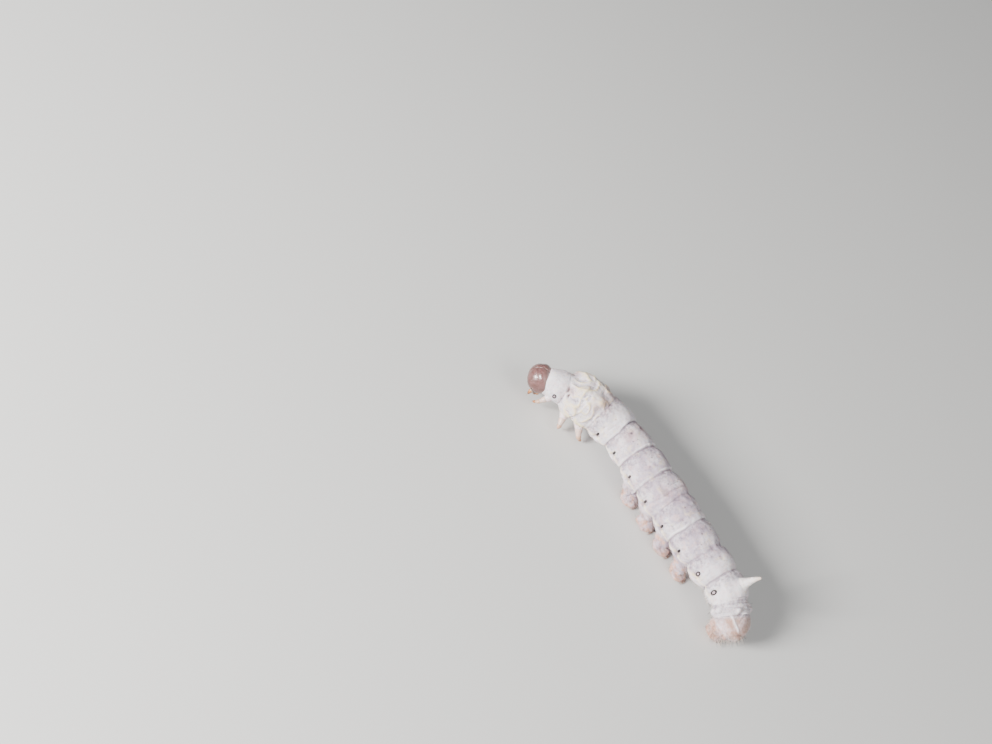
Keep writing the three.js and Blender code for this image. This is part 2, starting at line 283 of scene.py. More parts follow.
def outward(points, faces):  # turns a closed form's faces outwards
    volume = 0.0
    for f in faces:
        for i in range(1, len(f) - 1):
            volume += np.dot(points[f[0]], np.cross(points[f[i]], points[f[i + 1]]))
    return faces if volume > 0 else [f[::-1] for f in faces]


# Repeatable smooth noise for shapes, between -1 and 1

latticeSize = 8192
lattice = np.random.default_rng(3).uniform(-1, 1, latticeSize)
primes = (73856093, 19349663, 83492791)


def wobble(places, seed=0):
    cell = np.floor(places).astype(np.int64)
    part = places - cell
    part = part * part * part * (part * (part * 6 - 15) + 10)
    total = np.zeros(len(places))
    shuffle = seed * 2654435761 % 2**31
    for corner in range(8):
        step = np.array([(corner >> k) & 1 for k in range(3)])
        x, y, z = (cell + step).T
        key = (x * primes[0] ^ y * primes[1] ^ z * primes[2] ^ shuffle) % latticeSize
        total += lattice[key] * np.prod(np.where(step, part, 1 - part), axis=1)
    return total


def waves(places, *layers):  # noises on top of each other: size, scale and seed of each
    return sum(size * wobble(places * scale, seed) for size, scale, seed in layers)


def creases(places, seed=0, sharp=6.0):  # 1 along a web of thin lines, 0 between them
    ridge = 1 - np.abs(wobble(places, seed)) * 1.6
    return np.clip(ridge, 0, 1) ** sharp


# The body's line and its skin before any folds, the same as the solid's

body = {
    "centre": (1.138, 3.287), "height": 5.0, "stations": 2205,
    "lengths": [3.0, 3.5, 3.8, 5.0, 5.0, 5.0, 4.9, 4.9, 4.9, 4.7, 4.2, 2.0, 4.2],
    "above": [2.45, 3.0, 4.35, 3.8, 3.5, 3.6, 3.85, 3.85, 3.75, 3.6, 3.45, 3.2, 2.8, 0.35],
    "beside": [2.5, 3.1, 4.2, 3.9, 3.5, 3.6, 3.8, 3.85, 3.75, 3.6, 3.45, 3.3, 3.15, 0.5],
    "below": [2.3, 3.1, 3.9, 3.8, 3.45, 3.4, 3.45, 3.5, 3.45, 3.4, 3.2, 2.9, 2.3, 0.35],
    "pinch": [0.0, 0.4, 0.16, 0.12, 0.17, 0.17, 0.17, 0.17, 0.17, 0.17, 0.17, 0.17, 0.12, 0.0],
    "pinchWidth": 0.75,
    "leftTurn": (39, 2.4, 21.0), "lift": (3, 11.0, 17.5), "nod": (-13, 0.0, 6.0), "frontRoll": (5, 0.0, 14.0),
    "tailTurn": (19, 43.0, 50.0), "tailDrop": (24, 45.0, 53.0), "tailRoll": (16, 38.0, 46.0),
    "tailEase": 2.0, "tailRound": 3.4, "tailHalf": (2.95, 2.6, 2.0),  # beside, above, below
    "collar": (-1.05, 0.8), "collarDraw": 0.13,  # the skin runs this far onto the head and draws in there
}
edges = np.concatenate([[0], np.cumsum(body["lengths"])])
middles = (edges[:-1] + edges[1:]) / 2
bodyLength, tailStart = edges[-1], edges[-2]
anchorSegment = 6  # its middle stands at the body's centre
segmentNames = [f"thorax_{k}" for k in (1, 2, 3)] + [f"abdomen_{k}" for k in range(1, 10)] + ["anal_segment"]


def frontTurn(turn, s):  # an angle that is full at the head and fades out
    return math.radians(turn[0]) * (1 - smooth(s, turn[1], turn[2]))


def rearTurn(turn, s):
    return math.radians(turn[0]) * smooth(s, turn[1], turn[2])


def layLine(b):
    s = np.linspace(0, bodyLength, b["stations"])

    def ahead(at):
        heading = frontTurn(b["leftTurn"], at) - rearTurn(b["tailTurn"], at)
        pitch = frontTurn(b["lift"], at) + frontTurn(b["nod"], at) + rearTurn(b["tailDrop"], at)
        level = np.cos(pitch)
        return np.stack([level * np.cos(heading), level * np.sin(heading), np.sin(pitch)], -1)

    stride = s[1] - s[0]
    path = np.vstack([np.zeros(3), np.cumsum(-ahead((s[1:] + s[:-1]) / 2) * stride, axis=0)])
    anchor = np.array([np.interp(middles[anchorSegment], s, path[:, k]) for k in range(3)])
    path += np.array([-b["centre"][0], -b["centre"][1], b["height"]]) - anchor
    forward = ahead(s)
    left = unit(np.cross((0, 0, 1), forward))
    up = np.cross(forward, left)
    roll = (frontTurn(b["frontRoll"], s) + rearTurn(b["tailRoll"], s))[:, None]
    return path, forward, left * np.cos(roll) + up * np.sin(roll), up * np.cos(roll) - left * np.sin(roll)


lineS = np.linspace(0, bodyLength, body["stations"])
bodyLine = layLine(body)


def frameAt(s):
    s = np.asarray(s, float)
    place, ahead, left, up = (np.stack([np.interp(s, lineS, v[:, k]) for k in range(3)], -1) for v in bodyLine)
    beyond = np.minimum(s, 0) + np.maximum(s - bodyLength, 0)
    return place - ahead * beyond[..., None], unit(ahead), unit(left), unit(up)


def alongBody(values, s):
    values = np.asarray(values, float)
    i = np.clip(np.searchsorted(edges, s, side="right") - 1, 0, len(edges) - 2)
    start, length = edges[i], edges[i + 1] - edges[i]
    t = np.clip((s - start) / length, 0, 1)
    slopes = np.zeros(len(values))
    slopes[1:-1] = (values[2:] - values[:-2]) / (edges[2:] - edges[:-2])
    t2, t3 = t * t, t * t * t
    return ((2 * t3 - 3 * t2 + 1) * values[i] + (t3 - 2 * t2 + t) * length * slopes[i]
            + (3 * t2 - 2 * t3) * values[i + 1] + (t3 - t2) * length * slopes[i + 1])


def halfWidths(s, b=body):  # the skin's distance from the line: beside, above and below
    s = np.asarray(s, float)
    nearest = np.argmin(np.abs(s[..., None] - edges), -1)
    pinch = np.asarray(b["pinch"])[nearest] * near(s, edges[nearest], b["pinchWidth"])
    ease = smooth(s, tailStart, tailStart + b["tailEase"])
    closing = np.sqrt(1 - np.clip((s - bodyLength + b["tailRound"]) / b["tailRound"], 0, 0.995) ** 2)
    collarEnd, collarLength = b["collar"]
    drawn = 1 - b["collarDraw"] * np.clip((collarLength - s) / (collarLength - collarEnd), 0, 1) ** 2
    result = []
    for key, final in zip(("beside", "above", "below"), b["tailHalf"]):
        before = alongBody(b[key], np.full_like(s, tailStart)) - b["pinch"][-2]
        tail = (before + (final - before) * ease) * closing
        result.append(np.where(s > tailStart, tail, alongBody(b[key], s) - pinch) * drawn)
    return result


def skinPoint(s, angle, extra=0.0):
    s, angle = np.broadcast_arrays(np.asarray(s, float), np.asarray(angle, float))
    place, _, left, up = frameAt(s)
    beside, above, below = halfWidths(s)
    high = np.where(np.cos(angle) > 0, above, below)
    out, rise = (beside + extra) * np.sin(angle), (high + extra) * np.cos(angle)
    return place + left * out[..., None] + up * rise[..., None]


def bodyPlace(points):  # place along the body, offset to the left and height over the line
    s = np.interp(-points[:, 0], -bodyLine[0][:, 0], lineS)
    for _ in range(8):
        place, ahead, left, up = frameAt(s)
        s = np.clip(s - np.einsum("ij,ij->i", points - place, ahead), -2.5, bodyLength + 2)
    place, ahead, left, up = frameAt(s)
    away = points - place
    return s, np.einsum("ij,ij->i", away, left), np.einsum("ij,ij->i", away, up)


def shareOut(s, left, up):  # 1 on the plain body's skin
    beside, above, below = halfWidths(s)
    return np.hypot(left / beside, up / np.where(up > 0, above, below))


print("body line laid")


# Skin: body, prolegs, claspers and the horn's root as one surface

proleg = {
    "segments": (3, 4, 5, 6), "behind": 0.6, "rootAngle": 138, "rootDepth": 1.1,
    "footOut": 2.9, "footBack": 2.0, "lengthwise": 1.12,
    "radii": [1.85, 1.9, 1.8, 1.62, 1.42, 1.3, 1.32, 1.45, 1.5, 1.2],
}
clasper = {
    "behind": 1.6, "rootAngle": 118, "rootDepth": 1.0, "footOut": 1.7, "footBack": -0.4, "lengthwise": 1.2,
    "radii": [1.7, 1.75, 1.65, 1.52, 1.42, 1.32, 1.38, 1.12],
}
horn = {
    "behind": 0.35, "length": 4.1, "back": 0.5, "steps": 40, "skinShare": 0.34, "overlap": 5,
    "radii": [1.9, 1.55, 1.1, 0.78, 0.56, 0.42, 0.3, 0.18],
    "line": [(-0.22, 0), (0.1, 0.02), (0.55, 0.32), (0.95, 1)],
    "rings": 90, "ringSides": 48, "ripple": 0.03, "ripples": 34, "proud": 0.03, "tipRings": 6,
    "lumps": (0.05, 2.2, 60), "creaseDepth": 0.05, "creaseScale": (1.6, 1.6, 3.2),
}
skin = {
    "voxel": 0.1, "sides": 120, "ringStep": 0.2, "collarSlant": 0.85, "slantEnd": 2.2, "tipLength": 0.6,
    "tipRings": 8, "stumpSides": 40, "stumpRings": 30, "stumpTop": 0.4, "far": 9.0,
    "seam": (0.8 / 3.5, 0.8 / 1.3), "hornSeam": (8, 1.3, 0.8, 1.25), "seamRounds": 45, "evenRounds": 3,
    "stumpShare": (1.04, 1.3), "stumpReach": 1.6, "stumpAngle": (75, 95), "onStumps": 0.15,
    "floorFree": (0.05, 0.35), "collarFree": (-0.8, 0.2),
}


def stumpFeet():  # root, foot, side and shape of every soft leg
    roots = [(proleg, middles[2 + k] + proleg["behind"]) for k in proleg["segments"]]
    roots.append((clasper, tailStart + clasper["behind"]))
    feet = []
    for shape, at in roots:
        for sign, _ in bothSides:
            root = skinPoint(at, sign * math.radians(shape["rootAngle"]), -shape["rootDepth"])
            place, ahead, left, _ = frameAt(at)
            foot = place + left * sign * shape["footOut"] - ahead * shape["footBack"]
            feet.append({"root": root, "foot": foot * (1, 1, 0), "side": sign, "shape": shape})
    return feet


def stumpForm(foot):
    shape, rings, around = foot["shape"], skin["stumpRings"], skin["stumpSides"]
    radii = spread(shape["radii"], rings)[:, None]
    turn = circle(around)
    centre = foot["root"] + (foot["foot"] - foot["root"]) * np.linspace(0, 1, rings)[:, None]
    points = np.repeat(centre[:, None], around, 1)
    points[..., 0] += radii * shape["lengthwise"] * np.cos(turn)
    points[..., 1] += radii * np.sin(turn)
    return closedGrid(points)


def hornLine():
    at = middles[10] + horn["behind"]
    _, ahead, _, up = frameAt(at)
    root = skinPoint(at, 0.0)
    stations = [root + up * rise * horn["length"] - ahead * back * horn["back"] for rise, back in horn["line"]]
    return curveThrough(stations, horn["steps"])


def fusedSkin():
    tip, collarEnd = skin["tipLength"], body["collar"][0]
    closing = np.sin(np.linspace(0, 1, skin["tipRings"]) * math.pi / 2)
    s = np.concatenate([np.arange(collarEnd, bodyLength - tip, skin["ringStep"]), bodyLength - tip * (1 - closing)])
    turn = circle(skin["sides"])
    backShare = np.clip(np.cos(turn), 0, 1) * (1 - smooth(s, collarEnd, skin["slantEnd"]))[:, None]
    rings = skinPoint(s[:, None] + skin["collarSlant"] * backShare, turn)
    keep = int(horn["steps"] * horn["skinShare"])
    hornRoot = tube(hornLine()[:keep], spread(horn["radii"], horn["steps"])[:keep], skin["stumpSides"])
    heap = Heap()
    for form in [closedGrid(rings)] + [stumpForm(f) for f in stumpFeet()] + [hornRoot]:
        heap.closed(form)
    rough = bpy.data.meshes.new("rough")
    rough.from_pydata(np.concatenate(heap.points).tolist(), [], heap.faces)
    lump = bpy.data.objects.new("rough", rough)
    bpy.context.collection.objects.link(lump)
    remesh = lump.modifiers.new("remesh", "REMESH")
    remesh.mode, remesh.voxel_size = "VOXEL", skin["voxel"]
    bpy.context.view_layer.update()
    fused = bpy.data.meshes.new_from_object(lump.evaluated_get(bpy.context.evaluated_depsgraph_get()))
    points = np.empty(len(fused.vertices) * 3)
    fused.vertices.foreach_get("co", points)
    corners = np.empty(len(fused.loops), np.int64)
    fused.loops.foreach_get("vertex_index", corners)
    assert len(corners) == 4 * len(fused.polygons)
    bpy.data.objects.remove(lump)
    bpy.data.meshes.remove(rough)
    bpy.data.meshes.remove(fused)
    return points.reshape(-1, 3), corners.reshape(-1, 4)


def gather(values, index, count):  # sums of rows that share an index
    return np.stack([np.bincount(index, values[:, k], count) for k in range(3)], -1)


def relaxed(points, quads, weight, rounds):
    a = np.concatenate([quads[:, k] for k in range(4)])
    b = np.concatenate([quads[:, (k + 1) % 4] for k in range(4)])
    count = len(points)
    share = np.bincount(a, minlength=count) + np.bincount(b, minlength=count)
    weight = np.broadcast_to(weight, count)[:, None]
    for _ in range(rounds):
        total = gather(points[b], a, count) + gather(points[a], b, count)
        points = points + (total / share[:, None] - points) * weight
    return points


def normalsOf(points, quads):
    a, b, c, d = (points[quads[:, k]] for k in range(4))
    face = np.cross(c - a, d - b)
    return unit(sum(gather(face, quads[:, k], len(points)) for k in range(4)))


def stumpNearness(points):  # distance from the nearest stump's middle, as a share of its radius
    best = np.full(len(points), skin["far"])
    for foot in stumpFeet():
        root, end, shape = foot["root"], foot["foot"], foot["shape"]
        t = np.clip((root[2] - points[:, 2]) / root[2], 0, 1)
        away = points - root - (end - root) * t[:, None]
        radius = np.interp(t, np.linspace(0, 1, len(shape["radii"])), shape["radii"])
        reach = np.hypot(away[:, 0] / shape["lengthwise"], away[:, 1]) / radius
        best = np.where(points[:, 2] < root[2] + skin["stumpTop"], np.minimum(best, reach), best)
    return best


# Relief of the skin. A wave is its size, its scale and its seed; a span is where it starts, is full,
# fades and ends; angles are counted from the back.

def atLeast(low, value):
    return low + (1 - low) * value


class Places:  # where every point of the skin lies, in the body's own terms
    def __init__(self, points, s, left, up, around, stump):
        self.points, self.s, self.around, self.stump = points, s, around, stump
        self.straight = np.stack([s, left, up], -1)
        part = np.clip(np.searchsorted(edges, s) - 1, 0, len(edges) - 2)
        self.along = np.clip((s - edges[part]) / (edges[part + 1] - edges[part]), 0, 1)
        self.hill = np.sin(self.along * math.pi)  # 1 in the middle of each segment
        self.abdomen = between(s, 10.0, 12.0, 50.0, 51.5)
        self.thorax = between(s, 3.0, 3.9, 9.2, 11.4)
        warps = [wobble(self.straight * cloth["warpScale"], seed) for seed in cloth["warpSeeds"]]
        self.warp = self.straight + cloth["warp"] * np.stack(warps, -1)

    def wave(self, *layers):
        return waves(self.straight, *layers)


folds = {  # each segment's hind rim stands proud of the front of the next one
    "depth": [0, 0.15, 0.03, 0.1, 0.24, 0.26, 0.24, 0.09, 0.2, 0.06, 0.1, 0.06, 0.04, 0],
    "valley": [0, 0, 0, 0, 0, 0, 0, 0.1, 0, 0.22, 0.18, 0.1, 0, 0],  # wide soft folds
    "wander": ((0.2, 0.3, 1), (0.06, 1.1, 2)),
    "uneven": (0.12, 0.75, 1.35), "unevenSize": 0.9, "unevenScale": (0.3, 0.5, 0.5), "unevenSeed": 30,
    "valleyAt": (0.1, 0.55), "valleyEven": 0.6, "step": (-0.2, 0.16), "stepEven": 0.7, "length": 1.0,
    "cutAt": (0.1, 0.08), "cutShare": 0.3, "cutFrom": (0.3, 0.7), "deepEnough": (0.12, 0.2),
    "rimAt": -0.25, "rimAhead": 0.42, "rimBehind": 0.22, "rimHeight": 0.1, "rimPower": 1.5,
    "pucker": 0.07, "puckerScale": (0.5, 1.5, 1.5), "puckerSeed": 50, "puckerAt": (0.1, 0.9),
    "cuffAt": (-0.2, 0.2), "behind": (0.0, 0.2, 0.5, 2.4), "behindFrom": 3,
}


def foldRelief(at):
    f = folds
    rise, cuffs, behind = (np.zeros(len(at.s)) for _ in range(3))
    drift = at.s + at.wave(*f["wander"])
    low, mean, high = f["uneven"]
    for k in range(1, len(edges) - 1):
        gap, depth = drift - edges[k], f["depth"][k]
        deep = smooth(depth, *f["deepEnough"])
        vary = np.clip(mean + at.wave((f["unevenSize"], f["unevenScale"], f["unevenSeed"] + k)), low, high)
        rise -= f["valley"][k] * near(gap, *f["valleyAt"]) * atLeast(f["valleyEven"], vary)
        step = smooth(gap, *f["step"]) * np.exp(-np.maximum(gap, 0) / f["length"]) * atLeast(f["stepEven"], vary)
        cut = f["cutShare"] * near(gap, *f["cutAt"]) * vary * smooth(vary, *f["cutFrom"])
        rise -= depth * (step + cut)
        rim = near(gap, f["rimAt"], np.where(gap < f["rimAt"], f["rimAhead"], f["rimBehind"])) * deep
        rise += f["rimHeight"] * rim * vary ** f["rimPower"]
        rise += at.wave((f["pucker"], f["puckerScale"], f["puckerSeed"] + k)) * near(gap, *f["puckerAt"])
        cuffs += near(gap, *f["cuffAt"]) * deep * vary
        behind += between(gap, *f["behind"]) * (k >= f["behindFrom"])
    return rise, {"cuffs": cuffs, "behind": behind}


flank = {  # angle, spread and height
    "swell": 0.12, "ridge": (112, 14, 0.16), "ridgeSpan": (3, 8, 40, 50),
    "lobe": (117, 12, 0.34), "lobeSpan": (3, 6, 46, 50), "lobePower": 1.3,
    "keel": (108, 2.8, 0.17), "keelSpan": (3.2, 5, 46, 50), "keelSway": 3, "keelWander": (2.5, 0.6, 4),
    "under": (130, 6, -0.3), "underSpan": (4, 9, 44, 49), "underWander": (4, 0.5, 5),
    "trough": (100, 5.5, -0.12),  # along the breathing holes
    "dents": ((36, 8, -0.07), (66, 8, -0.07)), "dentWander": (6, 0.35, 7),
    "creases": (0.52, 0.74), "creaseWidth": 0.045, "creaseDepth": 0.1, "creaseWander": (0.05, 0.7, 6),
    "creaseScale": (0.35, 0.45, 0.45), "creaseSeed": 40, "creaseShown": (-0.2, 0.4), "creaseSide": (84, 106),
}


def flankRelief(at):
    f = flank

    def band(name, around, *shares):
        angle, width, height = f[name] if isinstance(name, str) else name
        return height * near(around, angle, width) * math.prod(shares)

    rise = f["swell"] * at.hill * at.abdomen
    rise += band("ridge", at.around, between(at.s, *f["ridgeSpan"]))
    rise += band("lobe", at.around, at.hill ** f["lobePower"], between(at.s, *f["lobeSpan"]))
    sway = f["keelSway"] * np.cos(at.along * 2 * math.pi) + at.wave(f["keelWander"])
    raised = band("keel", at.around - sway, atLeast(0.55, at.hill), between(at.s, *f["keelSpan"]))
    rise += raised
    rise += band("under", at.around + at.wave(f["underWander"]), atLeast(0.4, at.hill), between(at.s, *f["underSpan"]))
    rise += band("trough", at.around, at.abdomen, atLeast(0.3, at.hill))
    for dent in f["dents"]:
        rise += band(dent, at.around + at.wave(f["dentWander"]), at.abdomen, atLeast(0.4, at.hill))
    along = at.along + at.wave(f["creaseWander"])
    for i, spot in enumerate(f["creases"]):
        shown = smooth(at.wave((1, f["creaseScale"], f["creaseSeed"] + i)), *f["creaseShown"])
        shown = shown * at.abdomen * (1 - smooth(at.around, *f["creaseSide"]))
        rise -= f["creaseDepth"] * near(along, spot, f["creaseWidth"]) * shown
    return rise, {"keel": raised / f["keel"][2]}


cloth = {  # the crumpled skin of the thorax and the soft lumps elsewhere
    "warp": 0.9, "warpScale": 0.4, "warpSeeds": (8, 9, 10),
    "slant": [[0.8, 0.5, 0.3], [-0.5, 0.8, 0.0], [-0.3, 0.0, 0.8]],
    "layers": [(0.56, False, (0.24, 0.34, 0.34), 11), (0.4, True, (0.5, 0.26, 0.3), 12),
               (0.3, False, (0.8, 0.6, 0.6), 13)],
    "sharp": 2.4, "level": 0.64, "crumple": 0.8, "fine": (0.07, (0.9, 1.3, 1.3), 14, 5),
    "humps": [(9.0, 24, 20, 0.4), (5.2, 26, 22, 0.32)], "humpLength": 1.0,
    "slots": [(3.1, 0.17, 45, 11), (3.5, 0.13, 64, 7)], "slotDepth": 0.3, "slotWander": (0.3, 1.3, 15),
    "lumps": (0.18, (0.8, 0.4, 0.4), 18), "lumpPower": 0.8, "lumpSide": (60, 110),
    "lines": (0.04, (1.8, 0.6, 0.6), 19, 6),
    "uneven": [(0.12, 0.42, 20), (0.05, 1.0, 26), (0.02, 1.9, 21)],
}


def clothRelief(at):
    c = cloth
    slanted = at.warp @ np.array(c["slant"])
    crumple = -c["level"]
    for size, slant, scale, seed in c["layers"]:
        crumple += size * (1 - np.abs(wobble((slanted if slant else at.warp) * scale, seed))) ** c["sharp"]
    depth, scale, seed, sharp = c["fine"]
    rise = (c["crumple"] * crumple - depth * creases(at.warp * scale, seed, sharp)) * at.thorax
    for spot, angle, width, height in c["humps"]:
        rise += height * near(at.s, spot, c["humpLength"]) * near(at.around, angle, width)
    uneven = at.s + at.wave(c["slotWander"])
    slots = sum(near(uneven, spot, wide) * near(at.around, angle, tall) for spot, wide, angle, tall in c["slots"])
    rise -= c["slotDepth"] * slots
    height, scale, seed = c["lumps"]
    lumps = height * np.abs(wobble(at.warp * scale, seed)) ** c["lumpPower"]
    rise += lumps * (1 - at.thorax) * atLeast(0.4, smooth(at.around, *c["lumpSide"]))
    depth, scale, seed, sharp = c["lines"]
    rise -= depth * creases(at.warp * scale, seed, sharp) * (1 - at.thorax) * (1 - at.stump)
    return rise + at.wave(*c["uneven"]), {"slots": slots}


tail = {
    "foldSpan": (48.2, 49.2, 50.8, 51.6), "foldHeight": 0.3, "foldScale": (1.1, 0.3, 0.3), "foldSeed": 17,
    "flank": (50.2, 1.5, 112, 26, 0.5),  # the soft flank before the claspers
    "creases": [(48.6, 20, 26), (49.4, 8, 30), (50.1, 24, 28)], "creaseWidth": 0.07, "creaseDepth": 0.13,
    "creaseWander": (0.35, 0.6, 29),
    "plateFrom": (51.0, 51.6), "plateSide": (74, 88),
    "frontGroove": (51.05, 0.12, 0.12), "frontGrooveSide": (80, 95),
    "sideGroove": (81, 4, 0.1), "sideGrooveFrom": (51.2, 51.8),
    "streakAngle": 58, "streakTurn": 9, "streakWidth": 5, "streakHeight": 0.16, "streakWander": (2.5, 1.2, 27),
    "streakSpan": (50.7, 51.3, 53.2, 53.9), "knob": (50.35, 0.3, 33, 6, 0.22),
    "rear": (54.25, 0.12, 0.07), "rearSide": (50, 75), "rearWander": (0.3, 0.9, 31),
}


def tailRelief(at):
    t = tail
    ridged = (1 - np.abs(wobble(at.warp * t["foldScale"], t["foldSeed"]))) ** 2 - 0.5
    rise = t["foldHeight"] * ridged * between(at.s, *t["foldSpan"])
    for spot, length, angle, width, height in (t["flank"], t["knob"]):
        rise += height * near(at.s, spot, length) * near(at.around, angle, width)
    wandering = at.s + at.wave(t["creaseWander"])
    for spot, angle, width in t["creases"]:
        rise -= t["creaseDepth"] * near(wandering, spot, t["creaseWidth"]) * near(at.around, angle, width)
    spot, width, depth = t["frontGroove"]
    rise -= depth * near(at.s, spot, width) * (1 - smooth(at.around, *t["frontGrooveSide"]))
    angle, width, depth = t["sideGroove"]
    rise -= depth * near(at.around, angle, width) * smooth(at.s, *t["sideGrooveFrom"])
    way = t["streakAngle"] - t["streakTurn"] * (at.s - t["plateFrom"][0])
    streak = near(at.around + at.wave(t["streakWander"]), way, t["streakWidth"]) * between(at.s, *t["streakSpan"])
    rise += t["streakHeight"] * streak
    plate = smooth(at.s, *t["plateFrom"]) * (1 - smooth(at.around, *t["plateSide"]))
    rear = near(at.s + at.wave(t["rearWander"]), *t["rear"][:2]) * (1 - smooth(at.around, *t["rearSide"]))
    return rise, {"plate": plate, "streak": streak, "rear": rear}


stumpSkin = {
    "swirl": (0.3, 0.8, 22), "ringScale": (0.3, 0.3, 1.1), "ringSeed": 23, "rings": (0.38, 0.7, 0.35),
    "lumpScale": 0.9, "lumpShift": 5, "lumpSeed": 24, "lumps": (0.36, 0.8, 0.3), "creases": (0.06, 1.7, 28, 5),
}


def stumpRelief(at):
    c = stumpSkin
    ringed = at.points * c["ringScale"]
    ringed[:, 2] += waves(at.points, c["swirl"])
    lumpy = at.points * c["lumpScale"] + c["lumpShift"]
    depth, scale, seed, sharp = c["creases"]
    rise = -depth * creases(at.points * scale, seed, sharp)
    for form, places, seed in (("rings", ringed, c["ringSeed"]), ("lumps", lumpy, c["lumpSeed"])):
        height, power, level = c[form]
        rise += height * (np.abs(wobble(places, seed)) ** power - level)
    return rise * at.stump


# Spots on the back: place along the body, angle, size, and how much of it is a blush and not a dark dot
spots = {
    "places": [
        (17.0, 20, 0.3, 0.0), (17.2, 24, 0.7, 0.8), (18.4, 30, 0.2, 0.2), (18.5, 16, 0.16, 0.3), (19.2, 24, 0.14, 0.4),
        (22.4, 14, 0.18, 0.3), (23.6, 32, 0.2, 0.4), (27.6, 18, 0.18, 0.3), (28.6, 36, 0.8, 0.6), (32.3, 16, 0.2, 0.3),
        (33.9, 38, 0.18, 0.4), (37.4, 16, 0.2, 0.2), (38.8, 34, 0.16, 0.3), (42.0, 18, 0.18, 0.4),
        (13.2, 30, 0.16, 0.4), (9.7, 22, 0.8, 0.75), (8.9, 46, 0.6, 0.6), (3.6, 44, 0.5, 0.7), (3.35, 52, 0.16, 0.35),
        (3.5, 62, 0.13, 0.4),
    ],
    "perDegree": 0.06, "core": 0.5, "halo": 1.6,
}

# Breathing holes: angle, half height and half width; the first also has its place along the body
holes = {
    "thorax_1": (1.7, 92, 0.42, 0.3), "middle": (98, 0.42, 0.2),
    "abdomen_7": (97, 0.5, 0.33), "abdomen_8": (92, 0.56, 0.36),
    "clear": (0.5, 1.0), "perDegree": 0.065, "ownSurface": 0.02, "ringed": (4, 40), "ringedShade": 0.35,
    "steps": 40, "floor": (-0.16, 0.8),  # lift and share of the width of the cap under the skin
    "profile": [(1.22, -0.12), (1.16, 0.01), (1.05, 0.045), (0.88, 0.055), (0.7, 0.03), (0.56, 0.0),
                (0.44, -0.005), (0.28, 0.01), (0.14, 0.0), (0.05, -0.05)],
    "parts": [0, 0, 0, 0, 0, 0.35, 0.75, 0.8, 0.9, 1.0], "slit": (0.35, 0.35),
}


def holeSpots():
    middle = [(middles[2 + k], *holes.get(f"abdomen_{k}", holes["middle"])) for k in range(1, 9)]
    return [holes["thorax_1"]] + middle


def spotMarks(at):
    dots, blush = np.zeros(len(at.s)), np.zeros(len(at.s))
    for spot, angle, size, faint in spots["places"]:
        off = np.hypot(at.s - spot, (at.around - angle) * spots["perDegree"])
        dots = np.maximum(dots, (1 - faint) * (1 - smooth(off, size * spots["core"], size)))
        blush = np.maximum(blush, faint * near(off, 0, size * spots["halo"]))
    return {"spots": dots, "blush": blush}


def skinRelief(at):
    rise, marks = np.zeros(len(at.s)), spotMarks(at)
    for part in (foldRelief, flankRelief, clothRelief, tailRelief):
        more, shown = part(at)
        rise += more
        marks.update(shown)
    rise = rise * (1 - at.stump * (1 - skin["onStumps"])) + stumpRelief(at) - tail["rear"][2] * marks["rear"]
    for spot, angle, _, _ in holeSpots():  # the skin lies even round each breathing hole
        off = np.hypot(at.s - spot, (at.around - angle) * holes["perDegree"])
        rise += (holes["ownSurface"] - rise) * (1 - smooth(off, *holes["clear"]))
    return rise, marks


def makeSkin():
    points, quads = fusedSkin()
    print("skin fused:", len(points), "points")
    share, reach = shareOut(*bodyPlace(points)), stumpNearness(points)
    seam = near(share, 1, skin["seam"][0]) * near(reach, 1, skin["seam"][1])
    station, away, width, within = skin["hornSeam"]
    hornSeam = near(np.linalg.norm(points - hornLine()[station], axis=1), away, width) * (share < within)
    seam = np.clip(np.maximum(seam, hornSeam) * 1.5, 0, 1)
    points = relaxed(points, quads, 0.9 * seam * (points[:, 2] > 0.35), skin["seamRounds"])
    points = relaxed(points, quads, np.where(points[:, 2] > 0.12, 0.4, 0.0), skin["evenRounds"])
    s, left, up = bodyPlace(points)
    around = np.degrees(np.arctan2(np.abs(left), up))
    stump = smooth(shareOut(s, left, up), *skin["stumpShare"]) * (reach < skin["stumpReach"])
    stump = stump * smooth(around, *skin["stumpAngle"])
    rise, marked = skinRelief(Places(points, s, left, up, around, stump))
    rise *= smooth(points[:, 2], *skin["floorFree"]) * smooth(s, *skin["collarFree"])
    points = points + normalsOf(points, quads) * rise[:, None]
    points[:, 2] = np.maximum(points[:, 2], 0)
    normals = normalsOf(points, quads)
    evened = relaxed(points, quads, 0.8, 12)
    hollow = np.einsum("ij,ij->i", evened - points, normals)  # how deep each point lies in a narrow hollow
    wide = np.einsum("ij,ij->i", relaxed(evened, quads, 0.9, 50) - points, normals)  # and in a wide one
    marks = {
        "along": s, "around": around, "side": np.sign(left), "stump": stump,
        "foot": stump * (1 - smooth(points[:, 2], 0.25, 1.5)),
        "hollow": np.clip(hollow * 14, -1, 1), "wide": np.clip(wide * 5, -1, 1),
        **{key: np.clip(value, 0, 1.2) * (1 - stump) for key, value in marked.items()},
    }
    return points, quads, normals, marks


skinPoints, skinQuads, skinNormals, skinMarks = makeSkin()
print("skin shaped")


# Looks of the skin. A noise is its scale, detail and roughness.

skinLook = {
    "white": paint(240, 234, 238), "lilac": paint(182, 168, 184), "slate": paint(128, 114, 130),
    "cream": paint(242, 222, 180), "dark": paint(78, 62, 72), "pink": paint(222, 188, 184),
    "tan": paint(182, 142, 124), "peach": paint(224, 166, 134), "creaseShade": paint(134, 114, 124),
    "blush": paint(168, 100, 96), "slotShade": paint(104, 74, 66),
    "clouds": (0.32, 4, 0.6), "drift": (0.75, 5, 0.65), "mottle": (1.7, 5, 0.68), "fine": (6.5, 4, 0.6),
    "dots": 1.15, "frontPale": (14, 21), "rearPale": (39, 45), "tailFrom": (50.9, 51.8),
    "pores": (6.0, 0.22), "grain": (15.0, 2), "grainHeight": 0.04, "grainStrength": 0.8,
}


